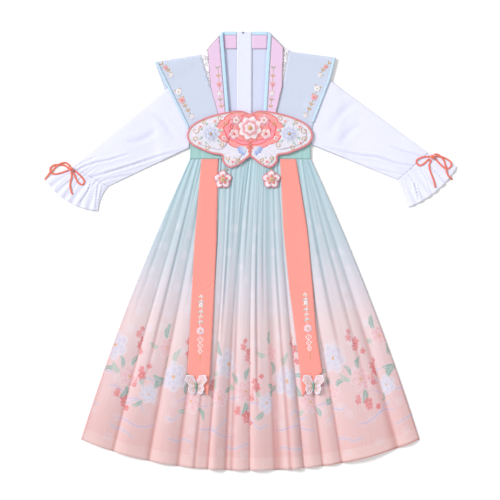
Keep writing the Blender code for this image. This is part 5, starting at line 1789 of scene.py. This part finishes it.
def build_stitching():
    """Top stitching, hems and fine edging."""
    tone = threads()
    length = bpy.context.scene.dress_sizes.stitch_length / MM
    run = (length, 0.55, 0.25)
    pitch = length * 1.45
    cotton = plain_thread("White sewing thread", tone["white"], 0.5)
    taupe = plain_thread("Taupe edging thread", dye_code("A99C90"), 0.5)
    coral = plain_thread("Coral sewing thread", shaded(tone["salmon"], 0.8), 0.5)
    mint = plain_thread("Mint sewing thread", dye_code("82B3AC"), 0.5)

    def pair(piece):
        return [f"{piece}_{side}" for side in SIDES]

    for name, nodes, inset, spacing, stitch, dye, slot in (
        ("binding_stitches", pair("vest_binding"), 1.0, pitch, run, cotton, "binding_satin"),
        ("collar_edge_cord", pair("collar"), 0.7, 1.4, (1.7, 1.3, 0.5), taupe, "collar_satin"),
        ("waistband_stitches", ["waistband_front"], 2.4, pitch, run, mint, "waistband_satin"),
        ("streamer_stitches", pair("streamer"), 2.6, pitch, run, coral, "streamer_satin"),
        ("placket_stitches", ["back_placket"], 2.6, pitch, run, cotton, "blouse_voile"),
        ("lace_loops", pair("lace"), 0.6, 2.6, (2.4, 1.6, 0.5), cotton, "lace"),
    ):
        routes = [inset_outline(node, inset) for node in nodes]
        stitch_rows(name, routes, spacing, stitch, 0.05, [node + "_cloth" for node in nodes], dye)


class DressOperator:
    """What every operator of the dress shares."""

    bl_options = {"REGISTER", "UNDO"}


class DRESS_OT_stage(DressOperator, bpy.types.Operator):
    """Make the floor, the lights and the camera straight above"""

    bl_idname = "dress.stage"
    bl_label = "Stage"

    def execute(self, context):
        build_stage()
        return {"FINISHED"}


class DRESS_OT_sleeves(DressOperator, bpy.types.Operator):
    """Make both sleeves and their ruffles"""

    bl_idname = "dress.sleeves"
    bl_label = "Sleeves and ruffles"

    def execute(self, context):
        build_sleeves()
        return {"FINISHED"}


class DRESS_OT_bows(DressOperator, bpy.types.Operator):
    """Make the drawstring bows of both cuffs"""

    bl_idname = "dress.bows"
    bl_label = "Drawstring bows"

    def execute(self, context):
        build_bows()
        return {"FINISHED"}


class DRESS_OT_bodice_inside(DressOperator, bpy.types.Operator):
    """Make the back of the bodice, seen inside the open neck"""

    bl_idname = "dress.bodice_inside"
    bl_label = "Bodice back"

    def execute(self, context):
        build_bodice_inside()
        return {"FINISHED"}


class DRESS_OT_blouse_fronts(DressOperator, bpy.types.Operator):
    """Make the blouse fronts"""

    bl_idname = "dress.blouse_fronts"
    bl_label = "Blouse fronts"

    def execute(self, context):
        build_blouse_fronts()
        return {"FINISHED"}


class DRESS_OT_vest_fronts(DressOperator, bpy.types.Operator):
    """Make the sheer vest fronts, their binding and lace"""

    bl_idname = "dress.vest_fronts"
    bl_label = "Vest fronts"

    def execute(self, context):
        build_vest_fronts()
        return {"FINISHED"}


class DRESS_OT_collars(DressOperator, bpy.types.Operator):
    """Make the collar bands and pipings"""

    bl_idname = "dress.collars"
    bl_label = "Collar bands"

    def execute(self, context):
        build_collars()
        return {"FINISHED"}


class DRESS_OT_waistband(DressOperator, bpy.types.Operator):
    """Make the waistband"""

    bl_idname = "dress.waistband"
    bl_label = "Waistband"

    def execute(self, context):
        build_waistband()
        return {"FINISHED"}


class DRESS_OT_skirt(DressOperator, bpy.types.Operator):
    """Make the skirt's back, lining and pleated front"""

    bl_idname = "dress.skirt"
    bl_label = "Skirt"

    def execute(self, context):
        build_skirt()
        return {"FINISHED"}


class DRESS_OT_bands(DressOperator, bpy.types.Operator):
    """Make the two hanging bands"""

    bl_idname = "dress.bands"
    bl_label = "Hanging bands"

    def execute(self, context):
        build_bands()
        return {"FINISHED"}


class DRESS_OT_ornament(DressOperator, bpy.types.Operator):
    """Make the butterfly ornament at the waist"""

    bl_idname = "dress.ornament"
    bl_label = "Ornament"

    def execute(self, context):
        build_ornament()
        return {"FINISHED"}


class DRESS_OT_pendants(DressOperator, bpy.types.Operator):
    """Make the two flower pendants"""

    bl_idname = "dress.pendants"
    bl_label = "Flower pendants"

    def execute(self, context):
        build_pendants()
        return {"FINISHED"}


class DRESS_OT_butterflies(DressOperator, bpy.types.Operator):
    """Make the gauze butterflies on the bands"""

    bl_idname = "dress.butterflies"
    bl_label = "Gauze butterflies"

    def execute(self, context):
        build_butterflies()
        return {"FINISHED"}


class DRESS_OT_embroidery(DressOperator, bpy.types.Operator):
    """Embroider the collar, the flared shoulders and the bands"""

    bl_idname = "dress.embroidery"
    bl_label = "Embroidery"

    def execute(self, context):
        build_embroidery()
        return {"FINISHED"}


class DRESS_OT_stitching(DressOperator, bpy.types.Operator):
    """Add the top stitching and fine edging"""

    bl_idname = "dress.stitching"
    bl_label = "Stitching"

    def execute(self, context):
        build_stitching()
        return {"FINISHED"}


OPERATORS = (
    DRESS_OT_stage,
    DRESS_OT_sleeves,
    DRESS_OT_bows,
    DRESS_OT_bodice_inside,
    DRESS_OT_blouse_fronts,
    DRESS_OT_vest_fronts,
    DRESS_OT_collars,
    DRESS_OT_waistband,
    DRESS_OT_skirt,
    DRESS_OT_bands,
    DRESS_OT_ornament,
    DRESS_OT_pendants,
    DRESS_OT_butterflies,
    DRESS_OT_embroidery,
    DRESS_OT_stitching,
)


class DRESS_PT_panel(bpy.types.Panel):
    """The dress's pieces, sizes and colours"""

    bl_idname = "DRESS_PT_panel"
    bl_label = "Dress"
    bl_space_type = "VIEW_3D"
    bl_region_type = "UI"
    bl_category = "Dress"

    def draw(self, context):
        column = self.layout.column(align=True)
        for operator in OPERATORS:
            column.operator(operator.bl_idname)
        for group in (context.scene.dress_sizes, context.scene.dress_colours):
            box = self.layout.box()
            for name in group.__annotations__:
                box.prop(group, name)


CLASSES = (DressSizes, DressColours, *OPERATORS, DRESS_PT_panel)


def register():
    for item in CLASSES:
        bpy.utils.register_class(item)
    bpy.types.Scene.dress_sizes = bpy.props.PointerProperty(type=DressSizes)
    bpy.types.Scene.dress_colours = bpy.props.PointerProperty(type=DressColours)


def unregister():
    del bpy.types.Scene.dress_colours
    del bpy.types.Scene.dress_sizes
    for item in reversed(CLASSES):
        bpy.utils.unregister_class(item)


def main():
    """Makes the whole dress."""
    register()
    bpy.ops.dress.stage()
    bpy.ops.dress.sleeves()
    bpy.ops.dress.bows()
    bpy.ops.dress.bodice_inside()
    bpy.ops.dress.blouse_fronts()
    bpy.ops.dress.vest_fronts()
    bpy.ops.dress.collars()
    bpy.ops.dress.waistband()
    bpy.ops.dress.skirt()
    bpy.ops.dress.bands()
    bpy.ops.dress.ornament()
    bpy.ops.dress.pendants()
    bpy.ops.dress.butterflies()
    bpy.ops.dress.embroidery()
    bpy.ops.dress.stitching()


if __name__ == "__main__":
    main()
